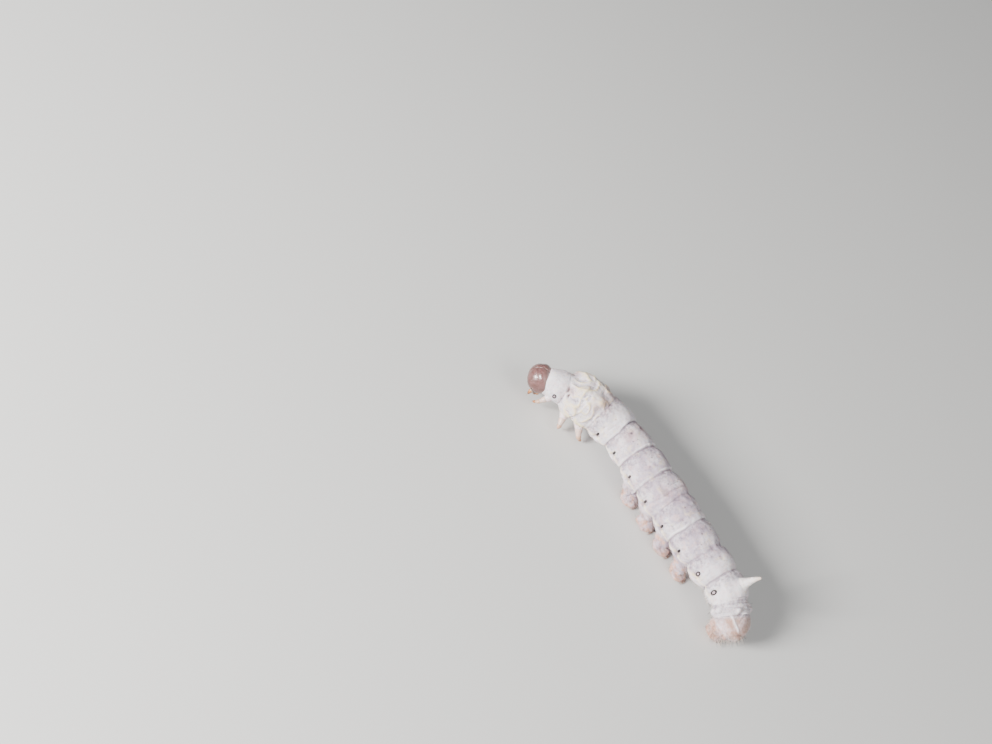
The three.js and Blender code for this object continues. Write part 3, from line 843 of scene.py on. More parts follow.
def skinNodes(w):
    c, place = skinLook, w.place()
    along, stump, foot, hollow, wide = w.attributes("along", "stump", "foot", "hollow", "wide")
    behind, cuffs, keel, plate = w.attributes("behind", "cuffs", "keel", "plate")
    blush, dotted, slots, streak, rear = w.attributes("blush", "spots", "slots", "streak", "rear")
    clouds, drift, mottle, fine = (place.noise(*c[k]) for k in ("clouds", "drift", "mottle", "fine"))
    dots = place.cells(c["dots"]).ease(0.2, 0.1) * drift.ease(0.42, 0.55)
    pale = (1 - along.ease(*c["frontPale"])) + along.ease(*c["rearPale"])  # both ends are whiter than the middle
    thorax = along.ease(3.0, 4.5) * (1 - along.ease(9.5, 11.5))
    tailEnd = along.ease(*c["tailFrom"])
    colour = layered(
        c["white"],
        ((0.34 + clouds.ease(0.36, 0.58) * 0.66) * (1.0 - pale * 0.7), c["lilac"]),
        (mottle.ease(0.47, 0.7) * (0.62 - pale * 0.3), c["slate"]),
        (drift.ease(0.5, 0.34) * (0.55 - pale * 0.25), c["pink"]),
        (drift.ease(0.53, 0.68) * 0.4, c["cream"]),
        # painted shade: a mottled slate band just behind each fold's proud rim
        (behind * (0.25 + mottle.ease(0.4, 0.6) * 0.5), c["slate"]),
        (behind * dots * 0.75, c["dark"]),
        (dots * drift.ease(0.58, 0.66) * 0.5, c["dark"]),
        (thorax * (hollow.ease(0.0, -0.9) * 0.5 + wide.ease(0.1, -0.5) * 0.4), c["cream"]),
        # painted shade: slate in the wide hollows of the crumpled thorax
        (thorax * wide.ease(0.1, 0.8) * 0.5, c["slate"]),
        (blush * 0.5, c["blush"]),
        (cuffs * 0.95, c["white"]),
        (keel * 0.8, c["cream"]),
        # painted shade: a darker colour in the skin's narrow hollows
        (hollow.ease(0.1, 1.0) * 0.6, c["creaseShade"]),
        # painted highlight: white on the raised crests of the skin outside the thorax
        (hollow.ease(-0.15, -0.9) * (1 - thorax) * 0.45, c["white"]),
        # painted shade: slate in the skin's wide hollows
        (wide.ease(0.2, 1.0) * 0.4, c["slate"]),
        (fine.ease(0.56, 0.8) * 0.3, c["slate"]),
        (dotted * 0.85, c["dark"]),
        # painted shade: dark brown in the dented slots at the front of the thorax
        (slots * 0.8, c["slotShade"]),
        (stump * 0.55, c["lilac"]),
        (stump * drift.ease(0.44, 0.6) * 0.7, c["peach"]),
        (stump * mottle.ease(0.52, 0.7) * 0.5, c["slate"]),
        (foot * (0.3 + mottle.ease(0.4, 0.6) * 0.6), c["tan"]),
        (tailEnd * mottle.ease(0.35, 0.6) * 0.6, c["pink"]),
        (tailEnd * (plate + stump) * (0.25 + drift.ease(0.36, 0.56) * 0.65), c["tan"]),
        (tailEnd * fine.ease(0.5, 0.7) * 0.4, c["blush"]),
        (streak * 0.8, c["white"]),
        # painted shade: dark in the groove at the rear end of the tail
        (rear * 0.45, c["dark"]),
    )
    rough = 0.46 + fine * 0.16 - hollow.ease(-0.1, -0.9) * 0.08 - tailEnd * mottle.ease(0.4, 0.6) * 0.24
    wet = tailEnd * (plate + stump) * mottle.ease(0.42, 0.58) * 0.8
    grain = place.pores(*c["pores"]) * 0.6 + fine * 0.7 + place.noise(*c["grain"]) * 0.3
    normal = grain.bump(c["grainHeight"], c["grainStrength"])
    return {"Base Color": colour, "Roughness": rough, "Coat Weight": wet, "Normal": normal}


skinFinish = finish("skinFinish", skinNodes, {
    **glow(0.22, 0.8, 1.0, 0.5, 0.4), "Specular IOR Level": 0.45, "IOR": 1.4, "Coat Roughness": 0.12,
})
skinPiece = meshPiece("skin", skinPoints, skinQuads, skinFinish, skinMarks)
stumpNodes = [f"proleg_{k}_{side}" for k in proleg["segments"] for _, side in bothSides]
dressed(skinPiece, "skin", *segmentNames, *stumpNodes, "clasper_left", "clasper_right")
print("skin made")


# Horn: its upper part, over the root that the skin makes

hornLook = {
    "base": paint(236, 228, 226), "mottle": paint(204, 186, 184), "tip": paint(214, 182, 150),
    "pores": (6.0, 0.25), "grain": (12.0, 3),
}


def hornNodes(w):
    c, place = hornLook, w.place()
    tip, = w.attributes("tip")
    mottle = place.noise(2.2, 4, 0.6)
    colour = layered(c["base"], (mottle.ease(0.4, 0.7) * 0.5, c["mottle"]), (tip.ease(0.5, 1.0) * 0.45, c["tip"]))
    grain = place.pores(*c["pores"]) + place.noise(*c["grain"]) * 0.4
    return {"Base Color": colour, "Roughness": 0.42 + mottle * 0.15, "Normal": grain.bump(0.04, 0.7)}


def makeHorn():
    rings, around = horn["rings"], horn["ringSides"]
    start = int(horn["steps"] * horn["skinShare"]) - horn["overlap"]
    line = curveThrough(hornLine()[start::3], rings)
    radii = spread(spread(horn["radii"], horn["steps"])[start:], rings)
    radii = radii * (1 + horn["ripple"] * np.sin(np.linspace(0, horn["ripples"], rings))) + horn["proud"]
    tip = horn["tipRings"]
    radii[-tip:] *= np.sqrt(1 - (np.arange(1, tip + 1) / (tip + 0.6)) ** 2)
    points, faces = tube(line, radii, around)
    away = unit(points - np.repeat(line, around, 0))
    lumps = waves(points, horn["lumps"]) - horn["creaseDepth"] * creases(points * horn["creaseScale"], 61, 5)
    fade = np.repeat(np.linspace(1, 0.3, rings), around)
    points = points + away * (lumps * fade)[:, None]
    hornFinish = finish("hornFinish", hornNodes, glow(0.15, 0.5, 1.0, 0.6, 0.4))
    tips = np.repeat(np.linspace(0, 1, rings), around)
    return meshPiece("horn", points, outward(points, faces), hornFinish, {"tip": tips})


dressed(makeHorn(), "horn", "horn")
print("horn made")


# Head: a hard capsule of two lobes, parted by sutures. Its own axes are left, ahead and up.

head = {
    "radii": (2.42, 2.15, 2.5), "ahead": 1.45, "below": 0.05, "nod": 28, "grid": 84, "soft": 9.0,
    "muzzle": (0, 0.75, -1.45), "muzzleRadii": (1.25, 1.15, 0.95),
    "front": (0.2, 0.9), "frontTop": 0.35, "frontBase": -1.35, "frontHalf": 0.86, "frontLow": (-1.75, -1.5),
    "groove": 0.12, "grooveWidth": 0.1, "lobes": (0.1, 0.75), "plate": 0.04,
    "sideGroove": (0.06, 0.055), "outerGroove": (0.22, 0.045, 0.6, 0.03), "crossing": (-1.12, 0.06, 0.72, 0.05),
    "lumps": (0.012, 2.2, 70), "creases": (0.01, 3.0, 71, 4), "rearWiden": (0.16, 0.3, 1.6),
    "eyeRadius": 0.18, "eyeOut": 0.72, "eyeAhead": 0.42, "eyeUp": -0.4, "eyeArc": (0.37, 0.62), "eyeProud": 0.03,
    "eyeTurns": (-100, -52, -4, 44, 92), "innerEye": (0.06, 0.0),
}
headLook = {
    "base": paint(132, 95, 93), "blotch": paint(90, 58, 54), "fleck": paint(70, 40, 38), "spot": paint(60, 32, 30),
    "suture": paint(70, 40, 34), "mouth": paint(92, 50, 34), "rear": paint(176, 140, 132), "face": paint(84, 44, 34),
    "pores": (9.0, 0.2), "grain": (20.0, 2),
}
neckPlace, neckAhead, neckLeft, neckUp = frameAt(0.0)
nod = math.radians(head["nod"])
headAhead = neckAhead * math.cos(nod) - neckUp * math.sin(nod)
headUp = neckUp * math.cos(nod) + neckAhead * math.sin(nod)
headAxes = np.stack([neckLeft, headAhead, headUp])
headCentre = neckPlace + neckAhead * head["ahead"] - neckUp * head["below"]


def onHead(points):
    return headCentre + np.asarray(points, float) @ headAxes


def roundGrid(n):  # a sphere with even faces, as six bent squares
    step = np.tan(np.linspace(-1, 1, n + 1) * math.pi / 4)
    a, b = np.meshgrid(step, step, indexing="ij")
    one = np.ones_like(a)
    sheets = [(one, a, b), (-one, b, a), (b, one, a), (a, -one, b), (a, b, one), (b, a, -one)]
    points, faces = [], []
    for k, sheet in enumerate(sheets):
        points.append(np.stack(sheet, -1).reshape(-1, 3))
        i = np.arange(n)[:, None] * (n + 1) + np.arange(n)[None, :] + k * (n + 1) ** 2
        faces.append(np.stack([i, i + n + 1, i + n + 2, i + 1], -1).reshape(-1, 4))
    points, faces = unit(np.concatenate(points)), np.concatenate(faces)
    _, first, same = np.unique(np.round(points, 6), axis=0, return_index=True, return_inverse=True)
    return points[first], same.ravel()[faces]


def headSurface(ways):  # distance from the head's centre along each direction, before the fine relief
    capsule = 1 / np.linalg.norm(ways / head["radii"], axis=1)
    scaled, centre = ways / head["muzzleRadii"], np.array(head["muzzle"]) / head["muzzleRadii"]
    a, b, c = (scaled**2).sum(1), scaled @ centre, centre @ centre - 1
    muzzle = np.where(b * b - a * c > 0, (b + np.sqrt(np.maximum(b * b - a * c, 0))) / a, 0)
    return np.log(np.exp(head["soft"] * capsule) + np.exp(head["soft"] * muzzle)) / head["soft"]


def makeHead():
    ways, quads = roundGrid(head["grid"])
    points = ways * headSurface(ways)[:, None]
    x, y, z = points.T
    top, base = head["frontTop"], head["frontBase"]
    front = smooth(y, *head["front"])
    share = np.clip((top - z) / (top - base), 0, 1.1)
    fromSide = np.abs(x) - head["frontHalf"] * share  # 0 along the two sutures of the face
    inFront = front * between(z, *head["frontLow"], top - 0.02, top + 0.05)
    median = near(x, 0, head["grooveWidth"]) * np.maximum(1 - front, smooth(z, top - 0.1, top + 0.1))
    sideDepth, sideWidth = head["sideGroove"]
    atSide = near(fromSide, 0, sideWidth) * inFront
    away, outerWidth, shown, outerDepth = head["outerGroove"]
    outer = near(fromSide, away, outerWidth) * inFront * shown
    height, width, half, crossDepth = head["crossing"]
    crossing = near(z, height, width) * front * (np.abs(x) < half)
    lobeHeight, lobeWidth = head["lobes"]
    rise = lobeHeight * (1 - near(x, 0, lobeWidth)) + head["plate"] * (fromSide < 0) * inFront
    rise -= head["groove"] * median + sideDepth * atSide + outerDepth * outer + crossDepth * crossing
    depth, scale, seed, sharp = head["creases"]
    rise += waves(points, head["lumps"]) - depth * creases(points * scale, seed, sharp)
    widen, widenFrom, widenTo = head["rearWiden"]
    wider = 1 + widen * smooth(-y, widenFrom, widenTo)[:, None] * (1, 0, 1)
    points = (points + ways * rise[:, None]) * wider
    marks = {
        "suture": np.clip(np.maximum(median, atSide) + outer + crossing, 0, 1),
        "mouth": smooth(-z, 1.1, 2.0) * smooth(y, -0.4, 0.5), "rear": smooth(-y, 0.9, 1.7),
        "face": smooth(y, -0.5, 1.3) * (1 - 0.5 * smooth(z, 0.9, 1.7)),
    }
    return meshPiece("head", onHead(points), quads, headFinish, marks)


def headNodes(w):
    c, place = headLook, w.place()
    suture, mouthShare, rear, face = w.attributes("suture", "mouth", "rear", "face")
    blotch, flecks = place.noise(1.5, 6, 0.7), place.noise(5.0, 5, 0.65)
    dark = place.cells(3.6).ease(0.34, 0.12)
    colour = layered(
        c["base"],
        (blotch.ease(0.3, 0.72), c["blotch"]),
        (flecks.ease(0.5, 0.7) * 0.6, c["fleck"]),
        (dark * blotch.ease(0.4, 0.6) * 0.55, c["spot"]),
        (suture * 0.75, c["suture"]),
        (mouthShare * 0.7, c["mouth"]),
        (rear * 0.5, c["rear"]),
        (face * (0.28 + blotch.ease(0.35, 0.6) * 0.42), c["face"]),
    )
    grain = place.pores(*c["pores"]) * 0.5 + place.noise(*c["grain"]) * 0.5
    return {"Base Color": colour, "Roughness": 0.24 + flecks * 0.12, "Normal": grain.bump(0.012, 0.5)}


def eyeNodes(w):
    depth = w.place().noise(5.0, 2)
    colour = depth.ease(0.4, 0.7).tint(paint(26, 16, 14), paint(58, 34, 24))
    return {"Base Color": colour, "Roughness": 0.08 + depth * 0.06}


def makeEyes(sign, side):
    depth, height = head["eyeArc"]
    turns = [math.radians(t) for t in head["eyeTurns"]]
    offsets = [(depth * math.cos(t), height * math.sin(t)) for t in turns] + [head["innerEye"]]
    middle = np.array(head["radii"]) * (sign * head["eyeOut"], head["eyeAhead"], head["eyeUp"])
    heap = Heap()
    ways, quads = roundGrid(8)
    for ahead, up in offsets:
        way = unit(middle + (0, ahead, up))
        seat = way * (headSurface(way[None])[0] + head["eyeProud"])
        heap.add(onHead(seat + ways * head["eyeRadius"]), quads.tolist())
    return dressed(heap.make(f"eyes_{side}", eyeFinish), "head_capsule")


headFinish = finish("headFinish", headNodes, {
    **glow(0.08, 0.4), "Coat Weight": 0.5, "Coat Roughness": 0.12, "Specular IOR Level": 0.5,
})
eyeFinish = finish("eyeFinish", eyeNodes, {"Coat Weight": 1.0, "Coat Roughness": 0.03})
dressed(makeHead(), "head_capsule", "head")
for sign, side in bothSides:
    makeEyes(sign, side)
print("head made")


# Mouthparts and feelers: lines on the head's axes, drawn for the left side

mouth = {
    "antenna": {"line": [(1.2, 1.2, -1.25), (1.42, 1.8, -1.65), (1.55, 2.2, -2.0)],
                "radii": [0.4, 0.34, 0.27, 0.15], "cuts": (0, 0.3, 0.62, 0.9, 1.0)},
    "maxilla": {"line": [(0.72, 0.55, -1.9), (0.8, 0.75, -2.45), (0.68, 1.05, -2.95)],
                "radii": [0.42, 0.38, 0.28, 0.14], "cuts": (0, 0.42, 0.68, 0.86, 1.0)},
    "lip": {"line": [(0, 0.3, -1.9), (0, 0.35, -2.6), (0, 0.62, -3.15)],
            "radii": [0.62, 0.58, 0.4, 0.16], "cuts": (0, 0.45, 0.78, 1.0)},
    "feeler": {"reach": (-0.05, 0.55), "radii": (0.03, 0.006), "sides": 6},
    "spinneret": {"reach": (-0.05, 0.32), "radii": [0.1, 0.09, 0.08, 0.07, 0.055, 0.03], "sides": 12},
    "mandible": {"line": [(0.55, 1.1, -1.9), (0.6, 1.4, -2.5), (0.42, 1.55, -2.95)],
                 "radii": [0.46, 0.5, 0.42, 0.2], "steps": 24, "flat": 0.7,
                 "teeth": 5, "toothInset": (0.16, 0.03), "toothLength": 0.2, "toothRadii": [0.08, 0.07, 0.045, 0.01]},
    "upperLip": {"size": (0.44, 0.2, 0.42), "place": (0.32, 1.72, -2.12), "lumps": (0.05, 2.0, 80), "grid": 14},
    "joint": {"steps": 50, "overlap": 0.03, "sides": 20, "rings": 14, "swell": 0.1, "ends": (0.6, 0.72)},
}


def barrel(heap, line, radii, start, end, hard):  # one slightly swollen length of a jointed limb
    joint = mouth["joint"]
    t = np.linspace(start, end, joint["rings"])
    at = t * (len(line) - 1)
    points = np.stack([np.interp(at, np.arange(len(line)), line[:, k]) for k in range(3)], -1)
    part = (t - start) / (end - start)
    size = np.interp(t, np.linspace(0, 1, len(radii)), radii)
    size = size * (1 - joint["swell"] + joint["swell"] * 2 * np.sin(part * math.pi * 0.8 + 0.35))
    size[[0, -1]] *= joint["ends"]
    heap.closed(tube(points, size, joint["sides"]), hard=hard)


def jointed(heap, line, radii, cuts):
    for k in range(len(cuts) - 1):
        start = max(cuts[k] - mouth["joint"]["overlap"], 0)
        barrel(heap, line, radii, start, cuts[k + 1], k / max(len(cuts) - 2, 1))


def headLine(part, sign, steps=mouth["joint"]["steps"]):
    return onHead(curveThrough([(sign * x, y, z) for x, y, z in part["line"]], steps))


def bristleTip(heap, line, part, hard):  # a thin straight tube on from a line's end
    way = unit(line[-1] - line[-3])
    radii = spread(part["radii"], 6)
    heap.closed(tube(line[-1] + way * np.linspace(*part["reach"], 6)[:, None], radii, part["sides"]), hard=hard)


hardLook = {
    "soft": paint(214, 186, 172), "amber": paint(178, 118, 66), "brown": paint(96, 48, 22),
    "mottle": paint(104, 60, 36), "pores": (8.0, 0.2),
}


def hardNodes(w):
    c, place = hardLook, w.place()
    hard, = w.attributes("hard")
    mottle = place.noise(3.0, 4, 0.6)
    colour = layered(c["soft"], (hard.ease(0.0, 0.25), c["amber"]), (hard.ease(0.35, 1.0), c["brown"]),
                     (mottle.ease(0.5, 0.75) * 0.4, c["mottle"]))
    grain = place.noise(11.0, 3) + place.pores(*c["pores"]) * 0.4
    return {"Base Color": colour, "Roughness": 0.2 + mottle * 0.18, "Normal": grain.bump(0.015, 0.5)}


hardFinish = finish("hardFinish", hardNodes, {
    **glow(0.15, 0.5, 1.0, 0.45, 0.2), "Coat Weight": 0.4, "Coat Roughness": 0.15,
})


def makeMandible(sign):
    jaw, heap = mouth["mandible"], Heap()
    steps = jaw["steps"]
    line = headLine(jaw, sign, steps)
    form = tube(line, spread(jaw["radii"], steps), steps, jaw["flat"])
    heap.closed(form, hard=np.repeat(np.linspace(0.55, 1, steps), steps))
    inward = -headAxes[0] * sign
    inset, more = jaw["toothInset"]
    for k in range(jaw["teeth"]):  # teeth along the biting edge
        base = line[-2 - k * 2] + inward * (inset + more * k)
        tooth = base + (inward * 0.5 - headUp) * np.linspace(0, jaw["toothLength"], 4)[:, None]
        heap.closed(tube(tooth, jaw["toothRadii"], 8), hard=1.0)
    return heap


def makeMouth():
    for sign, side in bothSides:
        heap, part = Heap(), mouth["antenna"]
        line = headLine(part, sign)
        jointed(heap, line, part["radii"], part["cuts"])
        bristleTip(heap, line, mouth["feeler"], 0.6)
        dressed(heap.make(f"antenna_{side}", hardFinish), "mouthparts", f"antenna_{side}")
        dressed(makeMandible(sign).make(f"mandible_{side}", hardFinish), "mouthparts", f"mandible_{side}")
        heap, part = Heap(), mouth["maxilla"]
        jointed(heap, headLine(part, sign), part["radii"], part["cuts"])
        dressed(heap.make(f"maxilla_{side}", hardFinish), "mouthparts")
    heap, part = Heap(), mouth["lip"]
    line = headLine(part, 1)
    jointed(heap, line, part["radii"], part["cuts"])
    bristleTip(heap, line, mouth["spinneret"], 0.8)
    dressed(heap.make("lower_lip", hardFinish), "mouthparts", "lower_lip")
    heap, lip = Heap(), mouth["upperLip"]
    ways, quads = roundGrid(lip["grid"])
    swell = 1 + waves(ways, lip["lumps"])[:, None]
    for sign, _ in bothSides:  # two lobes with a notch between them
        lobe = ways * lip["size"] * swell + np.array(lip["place"]) * (sign, 1, 1)
        heap.add(onHead(lobe), quads.tolist(), hard=0.35)
    dressed(heap.make("upper_lip", hardFinish), "mouthparts")


makeMouth()
print("mouthparts made")


# Jointed legs. Each pair: place behind its segment's middle, then the foot's way out, down and ahead, and its size.

legs = {
    "rootAngle": 140, "rootDepth": 0.8, "radii": [1.05, 1.0, 0.74, 0.6, 0.42, 0.42, 0.28, 0.24, 0.11],
    "cuts": (0.08, 0.36, 0.6, 0.8, 0.93),
    "pairs": [(0, 1.3, 1.6, 2.3, 0.85), (0.5, 2.6, 2.0, -0.3, 0.95), (0.2, 1.9, 1.8, -1.9, 1.05)],
    "bends": [(0, 0, 0), (0.55, 0.5, 0.35), (1, 0.95, 0.8), (0.85, 1.35, 1.2)],  # shares of out, down and ahead
    "claw": 0.42, "clawTurn": 1.9, "clawBend": 0.3, "clawThick": 0.12, "clawSink": 0.1, "clawSteps": 14,
    "clawSides": 12, "clawAt": 45,
}
legLook = {
    "skin": paint(228, 210, 212), "joint": paint(206, 172, 150), "amber": paint(170, 108, 56),
    "mottle": paint(168, 120, 104), "claw": paint(150, 88, 40), "clawTip": paint(62, 30, 16), "pores": (7.0, 0.2),
}


def legNodes(w):
    c, place = legLook, w.place()
    hard, = w.attributes("hard")
    mottle = place.noise(2.4, 4, 0.6)
    colour = layered(c["skin"], (hard.ease(0.1, 0.5), c["joint"]), (hard.ease(0.55, 0.95), c["amber"]),
                     (mottle.ease(0.5, 0.75) * 0.35, c["mottle"]))
    grain = place.noise(8.0, 4) + place.pores(*c["pores"]) * 0.5
    return {"Base Color": colour, "Roughness": 0.26 + mottle * 0.2, "Normal": grain.bump(0.02, 0.6)}


def clawNodes(w):
    tip, = w.attributes("hard")
    colour = tip.ease(0.2, 0.9).tint(legLook["claw"], legLook["clawTip"])
    return {"Base Color": colour, "Roughness": 0.18 + w.place().noise(6.0, 2) * 0.12}


legFinish = finish("legFinish", legNodes, {
    **glow(0.3, 0.6, 1.0, 0.5, 0.3), "Coat Weight": 0.35, "Coat Roughness": 0.2,
})
clawFinish = finish("clawFinish", clawNodes, {"Coat Weight": 0.6, "Coat Roughness": 0.08})


def makeClaw(name, line, outer, size):
    steps, around, at = legs["clawSteps"], legs["clawSides"], legs["clawAt"]
    way = unit(line[at + 1] - line[at - 3])
    t = np.linspace(0, 1, steps)[:, None]
    turn = t * legs["clawTurn"]
    path = line[at] - way * legs["clawSink"] + way * legs["claw"] * size * np.sin(turn)
    path = path - outer * legs["clawBend"] * size * (1 - np.cos(turn))
    radii = legs["clawThick"] * size * (1 - t[:, 0]) ** 0.7 + 0.008
    heap = Heap()
    heap.closed(tube(path, radii, around), hard=np.repeat(t[:, 0], around))
    dressed(heap.make(name, clawFinish), "legs")


def makeLegs():
    for number, (behind, out, down, forward, size) in enumerate(legs["pairs"], 1):
        at = middles[number - 1] + behind
        _, ahead, left, up = frameAt(at)
        for sign, side in bothSides:
            root = skinPoint(at, sign * math.radians(legs["rootAngle"]), -legs["rootDepth"])
            reach = np.array(legs["bends"]) * (out, down, forward)
            line = curveThrough(root + reach @ np.stack([left * sign, -up, ahead]), mouth["joint"]["steps"])
            heap = Heap()
            jointed(heap, line, [r * size for r in legs["radii"]], legs["cuts"])
            name = f"leg_{number}_{side}"
            dressed(heap.make(name, legFinish), "legs", name)
            makeClaw(f"claw_{number}_{side}", line, unit(left * sign + up * 0.6), size)


makeLegs()
print("legs made")


# Small hooks on the soles of the soft legs

hooks = {
    "count": 34, "spread": 118, "size": 0.3, "short": 0.68, "vary": (0.9, 0.2), "thick": 0.035, "taper": 0.8,
    "inset": 0.1, "root": (0.2, 0.05), "turn": 2.3, "out": 0.8, "down": 0.55, "floor": 0.05, "steps": 8, "sides": 6,
}


def makeHooks():
    h, heap = hooks, Heap()
    t = np.linspace(0, 1, h["steps"])[:, None]
    least, more = h["vary"]
    for foot in stumpFeet():
        inner = math.radians(-90 * foot["side"])
        reach = foot["shape"]["radii"][-2] - h["inset"]
        for k in range(h["count"]):
            turn = inner + math.radians(h["spread"]) * (2 * k / (h["count"] - 1) - 1)
            way = np.array([math.cos(turn), math.sin(turn), 0])
            long = 1.0 if k % 2 else h["short"]
            size = h["size"] * long * (least + more * draw.random())
            seat = foot["foot"] + way * (foot["shape"]["lengthwise"], 1, 0) * reach
            seat = seat + (0, 0, h["root"][0] + h["root"][1] * long)
            path = seat + way * size * h["out"] * np.sin(t * h["turn"])
            path[:, 2] -= size * h["down"] * (1 - np.cos(t[:, 0] * h["turn"]))
            path[:, 2] = np.maximum(path[:, 2], h["floor"])
            form = tube(path, h["thick"] * (1 - h["taper"] * t[:, 0]), h["sides"])
            heap.closed(form, hard=np.repeat(t[:, 0], h["sides"]))
    return dressed(heap.make("sole_hooks", clawFinish), "prolegs")


makeHooks()
print("sole hooks made")


# Breathing holes along both sides, from the sizes that the skin is levelled by

holeLook = {"inside": paint(20, 13, 16), "rim": paint(178, 160, 168), "slit": paint(60, 44, 48)}


def holeNodes(w):
    c = holeLook
    part, = w.attributes("part")
    grain = w.place().noise(9.0, 3)
    colour = layered(c["inside"], (part.ease(0.2, 0.6), c["rim"]), (part.ease(0.85, 0.98), c["slit"]))
    return {"Base Color": colour, "Roughness": 0.5 + grain * 0.2, "Normal": grain.bump(0.01, 0.5)}


def onSkin(s, angle):  # the finished skin's point and normal nearest to a place on the plain body
    close = np.argsort(((skinPoints - skinPoint(s, angle)) ** 2).sum(1))[:60]
    return skinPoints[close[:12]].mean(0), unit(skinNormals[close].mean(0))


def makeHoles():
    heap = Heap()
    turn = circle(holes["steps"])[:, None]
    belowSlit, narrowing = holes["slit"]
    floorLift, floorShare = holes["floor"]
    for s, angle, tall, wide in holeSpots():
        shade = holes["ringedShade"] if holes["ringed"][0] < s < holes["ringed"][1] else 1.0
        for sign, _ in bothSides:
            place, normal = onSkin(s, sign * math.radians(angle))
            place = place + normal * holes["ownSurface"]
            tallWay = unit(np.cross(normal, frameAt(s)[1]))
            wideWay = np.cross(tallWay, normal)

            def ring(lift, tallShare, wideShare):
                level = place + normal * lift
                return level + np.cos(turn) * tallWay * tall * tallShare + np.sin(turn) * wideWay * wide * wideShare

            rings = [ring(floorLift, floorShare, floorShare)]
            for grow, lift in holes["profile"]:
                rings.append(ring(lift, grow, grow * (1 - narrowing * (grow < belowSlit))))
            parts = np.repeat([0] + holes["parts"], holes["steps"])
            heap.closed(closedGrid(np.array(rings)), part=parts * shade)
    return dressed(heap.make("breathing_holes", holeFinish), "skin")


holeFinish = finish("holeFinish", holeNodes, {"Specular IOR Level": 0.3})
makeHoles()
print("breathing holes made")


# Hairs: fine down all over, longer bristles on the soft legs and round the tail, stiff hairs in rows

hair = {
    "down": 5200, "downLength": (0.16, 0.34), "downThick": 0.011, "downWay": (0.9, 0.35), "downTone": (0, 0.25),
    "bristles": 2100, "bristleLength": (0.45, 1.0), "bristleThick": 0.02, "bristleWay": (0.35, 0.2, 0.12),
    "bristleDark": (0.3, 0.15, 0.85),
    "setaLength": (0.5, 0.9), "setaThick": 0.02, "setaWay": (0.4, 0.25), "setaTone": 0.8,
    "setaSpots": (16, 34, 62, 84, 112, 134), "setaPlaces": (0.62, 0.3), "setaStray": (0.1, 2),
    "faceHairs": 150, "faceLength": (0.25, 0.6), "faceThick": 0.014, "faceTone": (0.1, 0.7), "faceProud": 0.06,
    "stray": 0.22, "curlStray": 0.05, "floor": 0.08, "lieFlat": 0.03, "root": 0.03,
    "rings": 4, "sides": 3, "taper": 0.8,
    "patch": 0.003, "skinPatch": (0.02, 0.95, 0.7), "headPatch": (0.3, 0.76, 0.2),  # on the bake map
    "base": paint(228, 214, 204), "dark": paint(58, 40, 34),
}


def hairForms(roots, ways, bends, lengths, thick, tones, places):
    rings, around, patch = hair["rings"], hair["sides"], hair["patch"]
    ways = unit(ways)
    side = unit(np.cross(ways, bends + 0.3 * np.roll(ways, 1, 1)))
    points, uv = [], []
    for k in range(rings + 1):
        t = k / rings
        centre = roots + ways * (lengths * t)[:, None] + bends * (lengths * t**2)[:, None]
        centre = centre - ways * hair["root"] * (k == 0)
        if k == rings:
            points.append(centre)
            uv.append(places + (patch * 0.5, patch))
            continue
        now = unit(ways + 2 * bends * t)
        across = unit(side - now * np.einsum("ij,ij->i", side, now)[:, None])
        other = np.cross(now, across)
        for j in range(around):
            turn = 2 * math.pi * j / around
            way = across * math.cos(turn) + other * math.sin(turn)
            points.append(centre + way * thick * (1 - hair["taper"] * t))
            uv.append(places + (patch * j / 2, patch * t))
    faces = []
    for k in range(rings):
        for j in range(around):
            a, b = k * around + j, k * around + (j + 1) % around
            faces.append([a, b, rings * around] if k == rings - 1 else [a, b, b + around, a + around])
    faces.append([2, 1, 0])
    per = len(points)
    base = np.arange(len(roots))[:, None] * per
    faces = [np.array(f) + base for f in faces]
    return np.stack(points, 1).reshape(-1, 3), faces, np.repeat(tones, per), np.stack(uv, 1).reshape(-1, 2)


def skinPatch(s, around, side):
    edge, long, high = hair["skinPatch"]
    u = edge + long * (s + 2.5) / (bodyLength + 5)
    return np.stack([u, edge + high * (around * side + 180) / 360], -1)


def hairNodes(w):
    tone, = w.attributes("tone")
    colour = tone.ease(0.0, 1.0).tint(hair["base"], hair["dark"])
    return {"Base Color": colour, "Roughness": 0.35 + w.place().noise(3.0, 2) * 0.2}


def skinHairs(pick, lengths, thick, way, tones):
    m, count = skinMarks, len(pick)
    lean, bend, droop = (*way, 0.0)[:3]
    n, s = skinNormals[pick], m["along"][pick]
    back = -frameAt(s)[1]
    grows = unit(n + back * lean + draw.normal(0, hair["stray"], n.shape))
    curl = back * bend - n * bend * 0.35 - np.array([0, 0, droop]) + draw.normal(0, hair["curlStray"], n.shape)
    low = skinPoints[pick, 2] + (grows[:, 2] + curl[:, 2]) * lengths < hair["floor"]
    grows[low, 2], curl[low, 2] = hair["lieFlat"], 0.0
    places = skinPatch(s, m["around"][pick], m["side"][pick])
    return hairForms(skinPoints[pick], grows, curl, lengths, thick, np.broadcast_to(tones, count), places)


def chosen(weight, count):
    return draw.choice(len(weight), count, replace=False, p=weight / weight.sum())


def downHairs(shown):
    pick = chosen(shown * (1 - 0.5 * skinMarks["stump"]), hair["down"])
    lengths = draw.uniform(*hair["downLength"], len(pick))
    tones = draw.uniform(*hair["downTone"], len(pick))
    return skinHairs(pick, lengths, hair["downThick"], hair["downWay"], tones)


